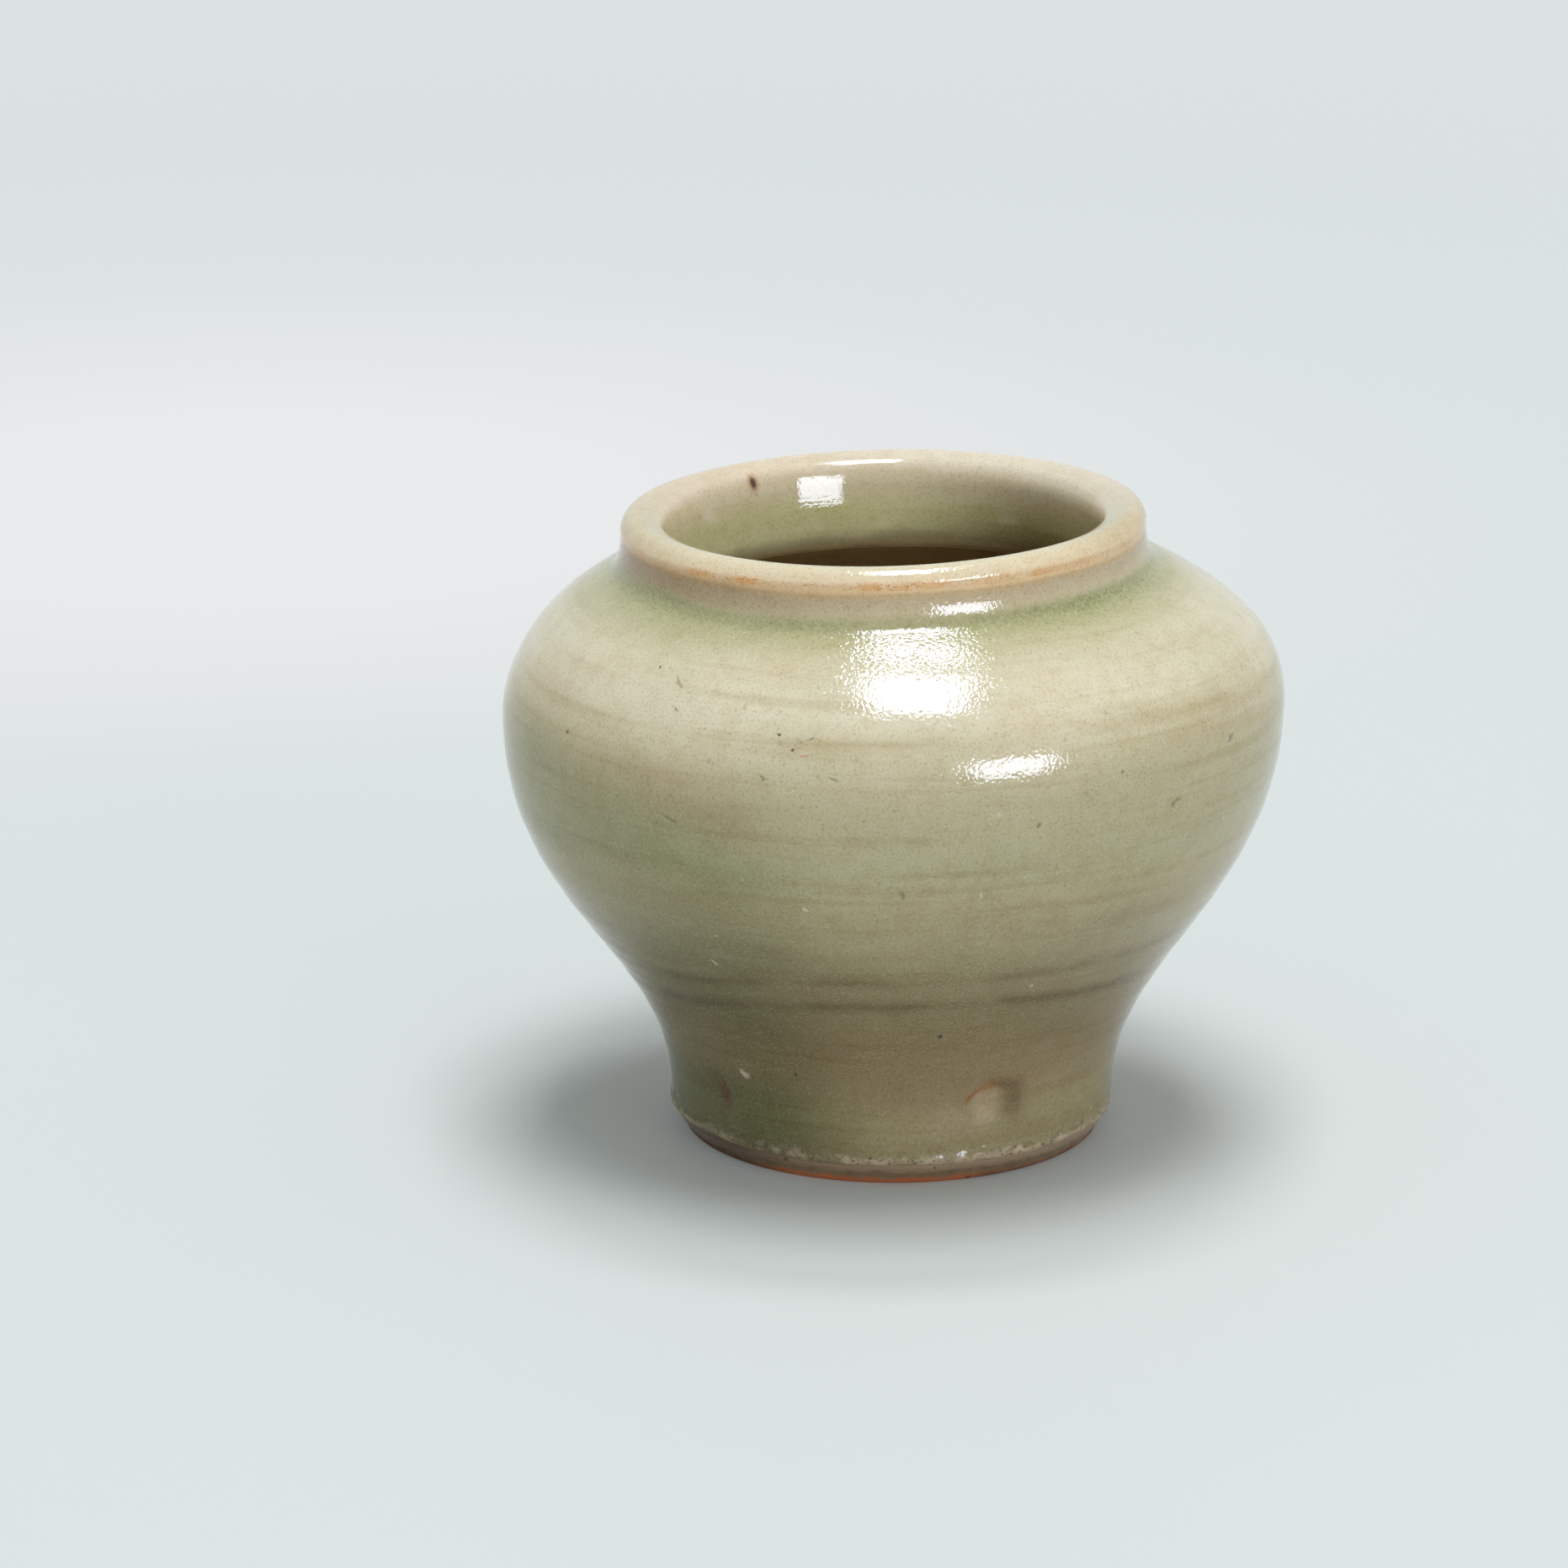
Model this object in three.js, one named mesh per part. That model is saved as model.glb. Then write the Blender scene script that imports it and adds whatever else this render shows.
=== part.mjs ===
// Small baluster jar: one wheel-thrown stoneware vessel under two coats of celadon glaze.
// Millimetres, +Z up. The origin is the centre of the plane that the foot ring rests on.
import * as THREE from 'three';

// Heights of the clay wall, each measured from the one below it
const BEVEL_RISE = 2.3; // the trimmed bevel of the foot, which stays bare
const LOWER_BODY_RISE = 51.4; // from the bevel to the widest part of the belly
const SHOULDER_RISE = 17.3; // from the belly to the corner at the base of the neck
const NECK_RISE = 5.6; // from that corner to the arris of the lip
const LIP_RISE = 1.73; // from the arris to the crown of the lip

// Radii of the clay wall's outside
const FOOT_CONTACT_RADIUS = 25.5;
const FOOT_TOP_RADIUS = 26.85;
const BELLY_RADIUS = 47.45;
const NECK_BASE_RADIUS = 32.8;
const NECK_WAIST_RADIUS = 31.5;
const LIP_RADIUS = 31.8;

// The foot ring and the base
const FOOT_RING_WIDTH = 4.2;
const FOOT_RECESS = 1.8;
const FOOT_EDGE_ROUND = 0.45;
const RECESS_FILLET = 1.0;
const FILLET_SHARE = 0.3; // how far in from its corner the recess's fillet passes
const FLOOR_THICKNESS = 6.6;

// The inside of the wall
const LIP_WIDTH = 4.15; // from the arris to the edge of the mouth
const MOUTH_EDGE_DROP = 0.95; // how far the mouth's edge lies below the crown
const MOUTH_EDGE_ROUND = 0.65;
const THROAT_RADIUS = 27.1; // at the top of the throat, which narrows from there down to the ridge
const THROAT_START = 1.75; // how far the top of the throat lies below the crown
const THROAT_SLOPE = 19; // degrees that the throat's wall leans in from upright at its top
const THROAT_DEPTH = 10.0; // the inside of the neck, from the crown to the ridge under the shoulder
const RIDGE_RADIUS = 25.5;
const RIDGE_ROUND = 1.3;
const BELLY_WALL = 4.0;

// The two coats of glaze
const OUTSIDE_GLAZE = 0.5;
const INSIDE_GLAZE = 0.45;
const LIP_GLAZE = 0.3; // the glaze runs thin at the lip, where the clay burns orange
const GLAZE_EDGE = 0.3; // the coat's thickness where it ends above the bevel
const NECK_GLAZE_SHARE = 0.33; // how much of the thinning happens in the fillet below the neck

// Fullness of the curves: each handle is this share of its own curve's rise or reach
const FOOT_WAIST_ANGLE = 2.3; // degrees that the wall leans in above the bevel
const FOOT_WAIST_FULLNESS = 0.416;
const LOWER_BELLY_FULLNESS = 0.467;
const UPPER_BELLY_FULLNESS = 0.566;
const SHOULDER_SLOPE = 30; // degrees from level where the shoulder meets the neck
const SHOULDER_REACH = 0.34;
const NECK_FILLET = 1.1;
const CROWN_OUTER_REACH = 0.145;
const CROWN_OUTER_LIFT = 0.35;
const CROWN_INNER_REACH = 0.3;
const CROWN_INNER_DROP = 0.145;
const THROAT_FULLNESS = 0.5;
const INSIDE_SHOULDER_FULLNESS = 0.6;
const UNDER_SHOULDER_SLOPE = 36;
const UNDER_SHOULDER_REACH = 0.25;
const INSIDE_BELLY_FULLNESS = 0.55;
const FLOOR_FULLNESS = 0.46;

// How the jar warped as it dried: the right side of the body stands higher, the neck sits to the left
const LEAN_ANGLE = 1.43; // degrees
const LEAN_START = 0.11; // shares of the lower body's rise between which the lean grows
const LEAN_END = 0.85;
const NECK_SHIFT = -1.3;
const NECK_SHIFT_REACH = 11; // the shift grows over this height below the neck's corner

// Facets round the jar, and points along each stretch of the section
const FACETS = 52;
const LOWER_BODY_STEPS = 10;
const SHOULDER_STEPS = 6;
const LIP_STEPS = 5;
const ROUND_STEPS = 2; // along each small round: the neck's fillet, the mouth's edge and the ridge
const NECK_STEPS = 3;
const THROAT_STEPS = 3;
const UNDER_SHOULDER_STEPS = 4;
const INSIDE_STEPS = 8;

// Heights above the resting plane
const bevelTop = BEVEL_RISE;
const bellyHeight = bevelTop + LOWER_BODY_RISE;
const neckBaseHeight = bellyHeight + SHOULDER_RISE;
const arrisHeight = neckBaseHeight + NECK_RISE;
const crownHeight = arrisHeight + LIP_RISE;
const floorHeight = FOOT_RECESS + FLOOR_THICKNESS;
const mouthRadius = LIP_RADIUS - LIP_WIDTH;
const throatBottom = crownHeight - THROAT_DEPTH;

const clay = new THREE.MeshStandardMaterial({ color: 0xb98a66, roughness: 0.85, metalness: 0 });
const olive = new THREE.MeshStandardMaterial({ color: 0x8f8c66, roughness: 0.25, metalness: 0 });
const cream = new THREE.MeshStandardMaterial({ color: 0xcfc7a4, roughness: 0.25, metalness: 0 });

function at(radius, height) {
  return new THREE.Vector2(radius, height);
}

// A point at a distance from another, in a direction given in degrees above level, outwards
function along(point, degrees, distance) {
  const angle = THREE.MathUtils.degToRad(degrees);
  return at(point.x + Math.cos(angle) * distance, point.y + Math.sin(angle) * distance);
}

// Points along one curve of the section, the last one left to the next curve. Each point has the
// direction that faces away from the clay, and the thickness of the glaze that lies on it there.
function stretch(curve, steps, glazeFrom, glazeTo) {
  const stations = [];
  for (let i = 0; i < steps; i += 1) {
    const share = i / steps;
    const point = curve.getPoint(share);
    const tangent = curve.getTangent(share);
    const outward = at(tangent.y, -tangent.x);
    const glaze = THREE.MathUtils.lerp(glazeFrom, glazeTo, share);
    stations.push({ point, outward, glaze });
  }
  return stations;
}

// The recessed base and the foot ring, from the axis out to the rounded edge that meets the bevel
function footSection() {
  const ringInside = FOOT_CONTACT_RADIUS - FOOT_RING_WIDTH;
  const edge = at(FOOT_CONTACT_RADIUS, 0);
  const bevel = at(FOOT_TOP_RADIUS, bevelTop);
  const up = bevel.clone().sub(edge).setLength(FOOT_EDGE_ROUND);
  const edgeRound = new THREE.QuadraticBezierCurve(
    at(FOOT_CONTACT_RADIUS - FOOT_EDGE_ROUND, 0), edge, edge.clone().add(up));
  return [
    at(0, FOOT_RECESS),
    at(ringInside - RECESS_FILLET, FOOT_RECESS),
    at(ringInside - RECESS_FILLET * FILLET_SHARE, FOOT_RECESS - RECESS_FILLET * FILLET_SHARE),
    at(ringInside, 0),
    ...edgeRound.getPoints(ROUND_STEPS),
  ];
}

// The S-curve of the body, from the narrow foot out to the belly
function lowerBody() {
  const start = at(FOOT_TOP_RADIUS, bevelTop);
  const end = at(BELLY_RADIUS, bellyHeight);
  const waist = along(start, 90 + FOOT_WAIST_ANGLE, FOOT_WAIST_FULLNESS * LOWER_BODY_RISE);
  const belly = at(BELLY_RADIUS, bellyHeight - LOWER_BELLY_FULLNESS * LOWER_BODY_RISE);
  return new THREE.CubicBezierCurve(start, waist, belly, end);
}

// The round shoulder, from the belly in to the small hollow at the base of the neck
function shoulder() {
  const start = at(BELLY_RADIUS, bellyHeight);
  const corner = at(NECK_BASE_RADIUS, neckBaseHeight);
  const end = along(corner, -SHOULDER_SLOPE, NECK_FILLET);
  const belly = at(BELLY_RADIUS, bellyHeight + UPPER_BELLY_FULLNESS * SHOULDER_RISE);
  const reach = SHOULDER_REACH * (BELLY_RADIUS - NECK_BASE_RADIUS);
  const slope = along(corner, -SHOULDER_SLOPE, NECK_FILLET + reach);
  return new THREE.CubicBezierCurve(start, belly, slope, end);
}

function neckFillet() {
  const corner = at(NECK_BASE_RADIUS, neckBaseHeight);
  const start = along(corner, -SHOULDER_SLOPE, NECK_FILLET);
  return new THREE.QuadraticBezierCurve(start, corner, neckFoot());
}

// Where the fillet ends on the neck
function neckFoot() {
  const corner = at(NECK_BASE_RADIUS, neckBaseHeight);
  return corner.add(at(NECK_WAIST_RADIUS, neckBaseHeight + NECK_RISE / 2).sub(corner).setLength(NECK_FILLET));
}

// The short neck, drawn in at its middle and turned out again to the arris of the lip
function neck() {
  const waist = at(NECK_WAIST_RADIUS, neckBaseHeight + NECK_RISE / 2);
  return new THREE.QuadraticBezierCurve(neckFoot(), waist, at(LIP_RADIUS, arrisHeight));
}

// The top of the lip, a crown that slopes in gently from the arris to the mouth's edge
function lipCrown() {
  const arris = at(LIP_RADIUS, arrisHeight);
  const edge = at(mouthRadius, crownHeight - MOUTH_EDGE_DROP);
  const outer = at(LIP_RADIUS - LIP_WIDTH * CROWN_OUTER_REACH, crownHeight + LIP_RISE * CROWN_OUTER_LIFT);
  const inner = at(mouthRadius + LIP_WIDTH * CROWN_INNER_REACH, crownHeight - LIP_RISE * CROWN_INNER_DROP);
  return new THREE.CubicBezierCurve(arris, outer, inner, edge);
}

// The mouth's edge rolls over into the throat
function mouthEdge() {
  const start = at(mouthRadius, crownHeight - MOUTH_EDGE_DROP);
  const end = at(THROAT_RADIUS, crownHeight - THROAT_START);
  return new THREE.QuadraticBezierCurve(start, along(end, 90 - THROAT_SLOPE, MOUTH_EDGE_ROUND), end);
}

// The throat narrows downwards, less and less, until it stands upright at the ridge
function throat() {
  const start = at(THROAT_RADIUS, crownHeight - THROAT_START);
  const end = at(RIDGE_RADIUS, throatBottom + RIDGE_ROUND);
  const reach = THROAT_FULLNESS * (THROAT_DEPTH - THROAT_START);
  return new THREE.QuadraticBezierCurve(start, along(start, -90 - THROAT_SLOPE, reach), end);
}

// The rounded ridge where the throat turns out under the shoulder
function throatRidge() {
  const corner = at(RIDGE_RADIUS, throatBottom);
  const start = at(RIDGE_RADIUS, throatBottom + RIDGE_ROUND);
  return new THREE.QuadraticBezierCurve(start, corner, along(corner, -UNDER_SHOULDER_SLOPE, RIDGE_ROUND));
}

// The inside of the shoulder, out to the belly's inside
function underShoulder() {
  const innerBelly = BELLY_RADIUS - BELLY_WALL;
  const corner = at(RIDGE_RADIUS, throatBottom);
  const reach = UNDER_SHOULDER_REACH * (innerBelly - RIDGE_RADIUS);
  const start = along(corner, -UNDER_SHOULDER_SLOPE, RIDGE_ROUND);
  const slope = along(corner, -UNDER_SHOULDER_SLOPE, RIDGE_ROUND + reach);
  const fullness = INSIDE_SHOULDER_FULLNESS * (throatBottom - bellyHeight);
  return new THREE.CubicBezierCurve(
    start, slope, at(innerBelly, bellyHeight + fullness), at(innerBelly, bellyHeight));
}

// The well of the jar, from the belly's inside down to the middle of the floor
function well() {
  const innerBelly = BELLY_RADIUS - BELLY_WALL;
  const fullness = INSIDE_BELLY_FULLNESS * (bellyHeight - floorHeight);
  return new THREE.CubicBezierCurve(
    at(innerBelly, bellyHeight), at(innerBelly, bellyHeight - fullness),
    at(innerBelly * FLOOR_FULLNESS, floorHeight), at(0, floorHeight));
}

// The clay wall as the glaze covers it: up the outside to the arris of the lip, and from there
// over the crown and down the inside to the axis
function outsideStations() {
  const neckGlaze = THREE.MathUtils.lerp(OUTSIDE_GLAZE, LIP_GLAZE, NECK_GLAZE_SHARE);
  const body = stretch(lowerBody(), LOWER_BODY_STEPS, OUTSIDE_GLAZE, OUTSIDE_GLAZE);
  body[0].glaze = GLAZE_EDGE;
  return [
    ...body,
    ...stretch(shoulder(), SHOULDER_STEPS, OUTSIDE_GLAZE, OUTSIDE_GLAZE),
    ...stretch(neckFillet(), ROUND_STEPS, OUTSIDE_GLAZE, neckGlaze),
    ...stretch(neck(), NECK_STEPS, neckGlaze, LIP_GLAZE),
  ];
}

function insideStations() {
  const axis = { point: at(0, floorHeight), outward: at(0, 1), glaze: INSIDE_GLAZE };
  return [
    ...stretch(lipCrown(), LIP_STEPS, LIP_GLAZE, LIP_GLAZE),
    ...stretch(mouthEdge(), ROUND_STEPS, LIP_GLAZE, INSIDE_GLAZE),
    ...stretch(throat(), THROAT_STEPS, INSIDE_GLAZE, INSIDE_GLAZE),
    ...stretch(throatRidge(), ROUND_STEPS, INSIDE_GLAZE, INSIDE_GLAZE),
    ...stretch(underShoulder(), UNDER_SHOULDER_STEPS, INSIDE_GLAZE, INSIDE_GLAZE),
    ...stretch(well(), INSIDE_STEPS, INSIDE_GLAZE, INSIDE_GLAZE),
    axis,
  ];
}

// The outer face of a coat at one station
function coated(station) {
  return station.point.clone().addScaledVector(station.outward, station.glaze);
}

// Turn a closed section about the axis and stand it upright
function thrown(section) {
  return new THREE.LatheGeometry(section, FACETS).rotateX(Math.PI / 2);
}

// A coat's section runs along the clay the same way round as the clay's own, so that the two share
// every facet. That leaves the coat inside out, and this turns its faces round.
function facesTurned(geometry) {
  const index = geometry.getIndex();
  for (let i = 0; i < index.count; i += 3) {
    const second = index.getX(i + 1);
    index.setX(i + 1, index.getX(i + 2));
    index.setX(i + 2, second);
  }
  return geometry;
}

// Lean the body and move the neck off centre, more with height, with the foot left true
function warped(geometry) {
  const position = geometry.getAttribute('position');
  const lean = Math.tan(THREE.MathUtils.degToRad(LEAN_ANGLE));
  const leanLow = bevelTop + LEAN_START * LOWER_BODY_RISE;
  const leanHigh = bevelTop + LEAN_END * LOWER_BODY_RISE;
  for (let i = 0; i < position.count; i += 1) {
    const x = position.getX(i);
    const z = position.getZ(i);
    const leaning = THREE.MathUtils.smoothstep(z, leanLow, leanHigh);
    const shifting = THREE.MathUtils.smoothstep(z, neckBaseHeight - NECK_SHIFT_REACH, neckBaseHeight);
    position.setX(i, x + NECK_SHIFT * shifting);
    position.setZ(i, z + lean * x * leaning);
  }
  geometry.computeVertexNormals();
  return geometry;
}

function piece(name, geometry, material) {
  const mesh = new THREE.Mesh(warped(geometry), material);
  mesh.name = name;
  return mesh;
}

const outside = outsideStations();
const inside = insideStations();
const arris = inside[0];

// The stoneware: base, foot ring, bevel, outside, lip and inside as one closed wall
function stonewareBody() {
  const wall = [...outside, ...inside].map((station) => station.point);
  return thrown([...footSection(), ...wall]);
}

// The outer coat, from the glaze line above the bevel up to the arris of the lip
function outsideGlaze() {
  const clayFace = [...outside, arris].map((station) => station.point);
  const openFace = [...outside, arris].map(coated).reverse();
  return facesTurned(thrown([...clayFace, ...openFace, clayFace[0]]));
}

// The inner coat, from the arris over the lip and down into the well
function insideGlaze() {
  const openFace = inside.map(coated).reverse();
  const clayFace = inside.map((station) => station.point);
  return facesTurned(thrown([...openFace, ...clayFace]));
}

const jar = new THREE.Group();
jar.name = 'small_baluster_jar';
jar.add(piece('stoneware_body', stonewareBody(), clay));
jar.add(piece('outside_glaze', outsideGlaze(), olive));
jar.add(piece('inside_glaze', insideGlaze(), cream));

export default jar;
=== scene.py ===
# %% [markdown]
# # A small celadon baluster jar
#
# The jar is one thrown and turned vessel under two coats of glaze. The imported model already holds
# its real size as three solids: the stoneware, the outside coat and the inside coat. This notebook
# loads them as a fixed frame, and then makes a finer skin for each from the same section: the curve
# that you would see if you sawed the jar in half from foot to lip.

import math
from functools import partialmethod

import bpy
import numpy as np
from mathutils import Matrix, Vector


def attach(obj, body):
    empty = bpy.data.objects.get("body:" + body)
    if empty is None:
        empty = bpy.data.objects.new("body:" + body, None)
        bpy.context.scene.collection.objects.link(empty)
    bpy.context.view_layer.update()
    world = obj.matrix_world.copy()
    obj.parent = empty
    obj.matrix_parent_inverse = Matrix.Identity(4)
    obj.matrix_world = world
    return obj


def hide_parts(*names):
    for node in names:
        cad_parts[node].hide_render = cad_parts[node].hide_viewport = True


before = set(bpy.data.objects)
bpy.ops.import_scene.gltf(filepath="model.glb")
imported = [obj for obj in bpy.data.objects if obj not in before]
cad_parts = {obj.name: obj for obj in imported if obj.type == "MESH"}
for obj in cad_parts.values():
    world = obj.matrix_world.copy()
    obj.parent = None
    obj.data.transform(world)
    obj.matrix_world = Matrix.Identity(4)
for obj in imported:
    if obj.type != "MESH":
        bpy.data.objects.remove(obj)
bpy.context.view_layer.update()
print("nodes:", sorted(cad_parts))

# %% [markdown]
# ## The section of the clay
#
# A potter thinks of a pot as a profile turned about an axis, so the profile comes first. Each
# stretch of it is one Bézier curve: a few corner points pull a smooth curve between two ends. That
# keeps the shape down to sizes that a potter could take with calipers. Sizes are in millimetres.

# %% Sizes of the clay
MM = 0.001

BEVEL_RISE = 2.3
LOWER_BODY_RISE = 51.4
SHOULDER_RISE = 17.3
NECK_RISE = 5.6
LIP_RISE = 1.73
FOOT_CONTACT_RADIUS = 25.5
FOOT_TOP_RADIUS = 26.85
BELLY_RADIUS = 47.45
NECK_BASE_RADIUS = 32.8
NECK_WAIST_RADIUS = 31.5
LIP_RADIUS = 31.8
LIP_WIDTH = 4.15
MOUTH_EDGE_DROP = 0.95
THROAT_RADIUS = 27.1
THROAT_START = 1.75
THROAT_DEPTH = 10.0
RIDGE_RADIUS = 25.5
RIDGE_ROUND = 1.3
BELLY_WALL = 4.0
FOOT_RING_WIDTH = 4.2
FOOT_RECESS = 1.8
RECESS_FILLET = 1.0
FLOOR_THICKNESS = 6.6

BELLY_HEIGHT = BEVEL_RISE + LOWER_BODY_RISE
NECK_BASE_HEIGHT = BELLY_HEIGHT + SHOULDER_RISE
ARRIS_HEIGHT = NECK_BASE_HEIGHT + NECK_RISE
CROWN_HEIGHT = ARRIS_HEIGHT + LIP_RISE
MOUTH_RADIUS = LIP_RADIUS - LIP_WIDTH
THROAT_BOTTOM = CROWN_HEIGHT - THROAT_DEPTH
FLOOR_HEIGHT = FOOT_RECESS + FLOOR_THICKNESS
INNER_BELLY = BELLY_RADIUS - BELLY_WALL


# %% Curves
def bezier(corners, samples):
    """Points of a Bézier curve: corner k of n, times (n choose k) (1-t)^(n-k) t^k, all added up."""
    corners = np.array(corners, float)
    t = np.linspace(0.0, 1.0, samples)[:, None]
    n = len(corners) - 1
    weights = [math.comb(n, k) * (1 - t) ** (n - k) * t**k for k in range(n + 1)]
    return sum(weight * corner for weight, corner in zip(weights, corners))


def along(point, degrees, distance):
    """The point at a distance from another, in a direction in degrees above level, outwards."""
    angle = math.radians(degrees)
    return point[0] + math.cos(angle) * distance, point[1] + math.sin(angle) * distance


def joined(stretches):
    """Curves end to end as one line, each shared end kept once."""
    return np.concatenate([stretches[0]] + [stretch[1:] for stretch in stretches[1:]])


# %% The clay line from foot to lip, and from lip to floor
FOOT_WAIST_ANGLE = 92.3
SHOULDER_SLOPE = -30
NECK_FILLET = 1.1
THROAT_SLOPE = 19
UNDER_SHOULDER_SLOPE = -36


def outside_line():
    """Up the outside, from the corner above the bevel to the arris, the outer edge of the lip."""
    foot_top = (FOOT_TOP_RADIUS, BEVEL_RISE)
    belly = (BELLY_RADIUS, BELLY_HEIGHT)
    corner = (NECK_BASE_RADIUS, NECK_BASE_HEIGHT)
    waist = (NECK_WAIST_RADIUS, NECK_BASE_HEIGHT + NECK_RISE / 2)
    up_neck = math.degrees(math.atan2(waist[1] - corner[1], waist[0] - corner[0]))
    fillet_start = along(corner, SHOULDER_SLOPE, NECK_FILLET)
    fillet_end = along(corner, up_neck, NECK_FILLET)
    reach = NECK_FILLET + 0.34 * (BELLY_RADIUS - NECK_BASE_RADIUS)
    return joined([
        bezier([foot_top, along(foot_top, FOOT_WAIST_ANGLE, 0.416 * LOWER_BODY_RISE),
                (BELLY_RADIUS, BELLY_HEIGHT - 0.467 * LOWER_BODY_RISE), belly], 400),
        bezier([belly, (BELLY_RADIUS, BELLY_HEIGHT + 0.566 * SHOULDER_RISE),
                along(corner, SHOULDER_SLOPE, reach), fillet_start], 200),
        bezier([fillet_start, corner, fillet_end], 40),
        bezier([fillet_end, waist, (LIP_RADIUS, ARRIS_HEIGHT)], 80),
    ])


def lip_line():
    """Over the crown of the lip, which slopes in gently from the arris to the edge of the mouth."""
    return bezier([(LIP_RADIUS, ARRIS_HEIGHT),
                   (LIP_RADIUS - LIP_WIDTH * 0.145, CROWN_HEIGHT + LIP_RISE * 0.35),
                   (MOUTH_RADIUS + LIP_WIDTH * 0.3, CROWN_HEIGHT - LIP_RISE * 0.145),
                   (MOUTH_RADIUS, CROWN_HEIGHT - MOUTH_EDGE_DROP)], 120)


def inside_line():
    """Down the narrowing throat, under the shoulder, and round the well to the floor's middle."""
    throat_top = (THROAT_RADIUS, CROWN_HEIGHT - THROAT_START)
    narrowing = along(throat_top, -90 - THROAT_SLOPE, 0.5 * (THROAT_DEPTH - THROAT_START))
    ridge = (RIDGE_RADIUS, THROAT_BOTTOM)
    ridge_start = (RIDGE_RADIUS, THROAT_BOTTOM + RIDGE_ROUND)
    ridge_end = along(ridge, UNDER_SHOULDER_SLOPE, RIDGE_ROUND)
    reach = RIDGE_ROUND + 0.25 * (INNER_BELLY - RIDGE_RADIUS)
    under_belly = (INNER_BELLY, BELLY_HEIGHT - 0.55 * (BELLY_HEIGHT - FLOOR_HEIGHT))
    return joined([
        bezier([(MOUTH_RADIUS, CROWN_HEIGHT - MOUTH_EDGE_DROP),
                along(throat_top, 90 - THROAT_SLOPE, 0.65), throat_top], 60),
        bezier([throat_top, narrowing, ridge_start], 80),
        bezier([ridge_start, ridge, ridge_end], 40),
        bezier([ridge_end, along(ridge, UNDER_SHOULDER_SLOPE, reach),
                (INNER_BELLY, BELLY_HEIGHT + 0.6 * (THROAT_BOTTOM - BELLY_HEIGHT)),
                (INNER_BELLY, BELLY_HEIGHT)], 120),
        bezier([(INNER_BELLY, BELLY_HEIGHT), under_belly,
                (INNER_BELLY * 0.46, FLOOR_HEIGHT), (0, FLOOR_HEIGHT)], 300),
    ])


def length_of(line):
    """The lengths of its steps, by Pythagoras, added up."""
    return float(np.hypot(*np.diff(line, axis=0).T).sum())


ARRIS_ARC = length_of(outside_line())
MOUTH_ARC = ARRIS_ARC + length_of(lip_line())
FLOOR_ARC = MOUTH_ARC + length_of(inside_line())
print("arc in mm to arris %.1f, mouth %.1f, middle of floor %.1f"
      % (ARRIS_ARC, MOUTH_ARC, FLOOR_ARC))

# %% [markdown]
# ## A surface from the section
#
# Every point of the wall now has an address: how far it lies along the section, its arc, and how
# far round the jar, its turn. Arc 0 is the corner above the bevel. The outward direction comes from
# the same line, so that glaze can be laid on the clay square to it, and the arris stays soft.

# %% The wall by arc
SPACING = 0.05
ARRIS_SOFTNESS = 0.14
SOFT_STEPS = 20


def spaced(line):
    """The same line with points at even steps of arc, by interpolation along its length."""
    steps = np.hypot(*np.diff(line, axis=0).T)
    arc = np.concatenate([[0], np.cumsum(steps)])
    even = np.linspace(0, arc[-1], int(arc[-1] / SPACING) + 1)
    return even, np.stack([np.interp(even, arc, line[:, 0]), np.interp(even, arc, line[:, 1])], 1)


def square_to(line):
    """The direction of the line at each point, turned a quarter turn clockwise, so outwards."""
    tangent = np.gradient(line, axis=0)
    return np.stack([tangent[:, 1], -tangent[:, 0]], 1)


def unit(directions):
    """Each direction divided by its length."""
    lengths = np.linalg.norm(directions, axis=-1)[..., None]
    return directions / np.maximum(lengths, 1e-12)


def outward_of(points):
    """The outward direction, averaged with its neighbours by weights from a Gaussian."""
    reach = np.arange(-SOFT_STEPS, SOFT_STEPS + 1) * SPACING
    weights = np.exp(-((reach / ARRIS_SOFTNESS) ** 2) / 2)
    weights = weights / weights.sum()
    padded = np.pad(square_to(points), ((SOFT_STEPS, SOFT_STEPS), (0, 0)), "edge")
    return unit(np.stack([np.convolve(padded[:, k], weights, "valid") for k in (0, 1)], 1))


wall_arc, wall_points = spaced(joined([outside_line(), lip_line(), inside_line()]))
wall_outward = outward_of(wall_points)
print("wall samples:", len(wall_arc), " inner half ends at radius %.2f mm" % wall_points[-1, 0])


def clay_at(arc):
    """Radius, height and outward direction of the clay at any arcs, from the samples."""
    return [np.interp(arc, wall_arc, values) for values in
            (wall_points[:, 0], wall_points[:, 1], wall_outward[:, 0], wall_outward[:, 1])]


# %% [markdown]
# ## How the jar warped
#
# Thrown pots move as they dry and as they are fired. On this one the right side of the body stands
# higher than the left, and the neck sits a little to the left of the foot. The solids of the packed
# model are bent the same way, so the numbers are repeated here.

# %% The warp
LEAN = math.tan(math.radians(1.43))
LEAN_SPAN = (0.11, 0.85)
NECK_SHIFT = -1.3
SHIFT_DEPTH = 11


def smooth(value, low, high):
    """0 below low, 1 above high, and 3t² - 2t³ between."""
    t = np.clip((value - low) / (high - low), 0, 1)
    return t * t * (3 - 2 * t)


def window(value, low, full, waning, gone):
    """1 from full to waning, 0 below low and beyond gone: a smooth rise times a smooth fall."""
    return smooth(value, low, full) * (1 - smooth(value, waning, gone))


def hump(distance, width):
    """A Gaussian: e to the minus square of distance over width."""
    return np.exp(-((distance / width) ** 2))


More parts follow.
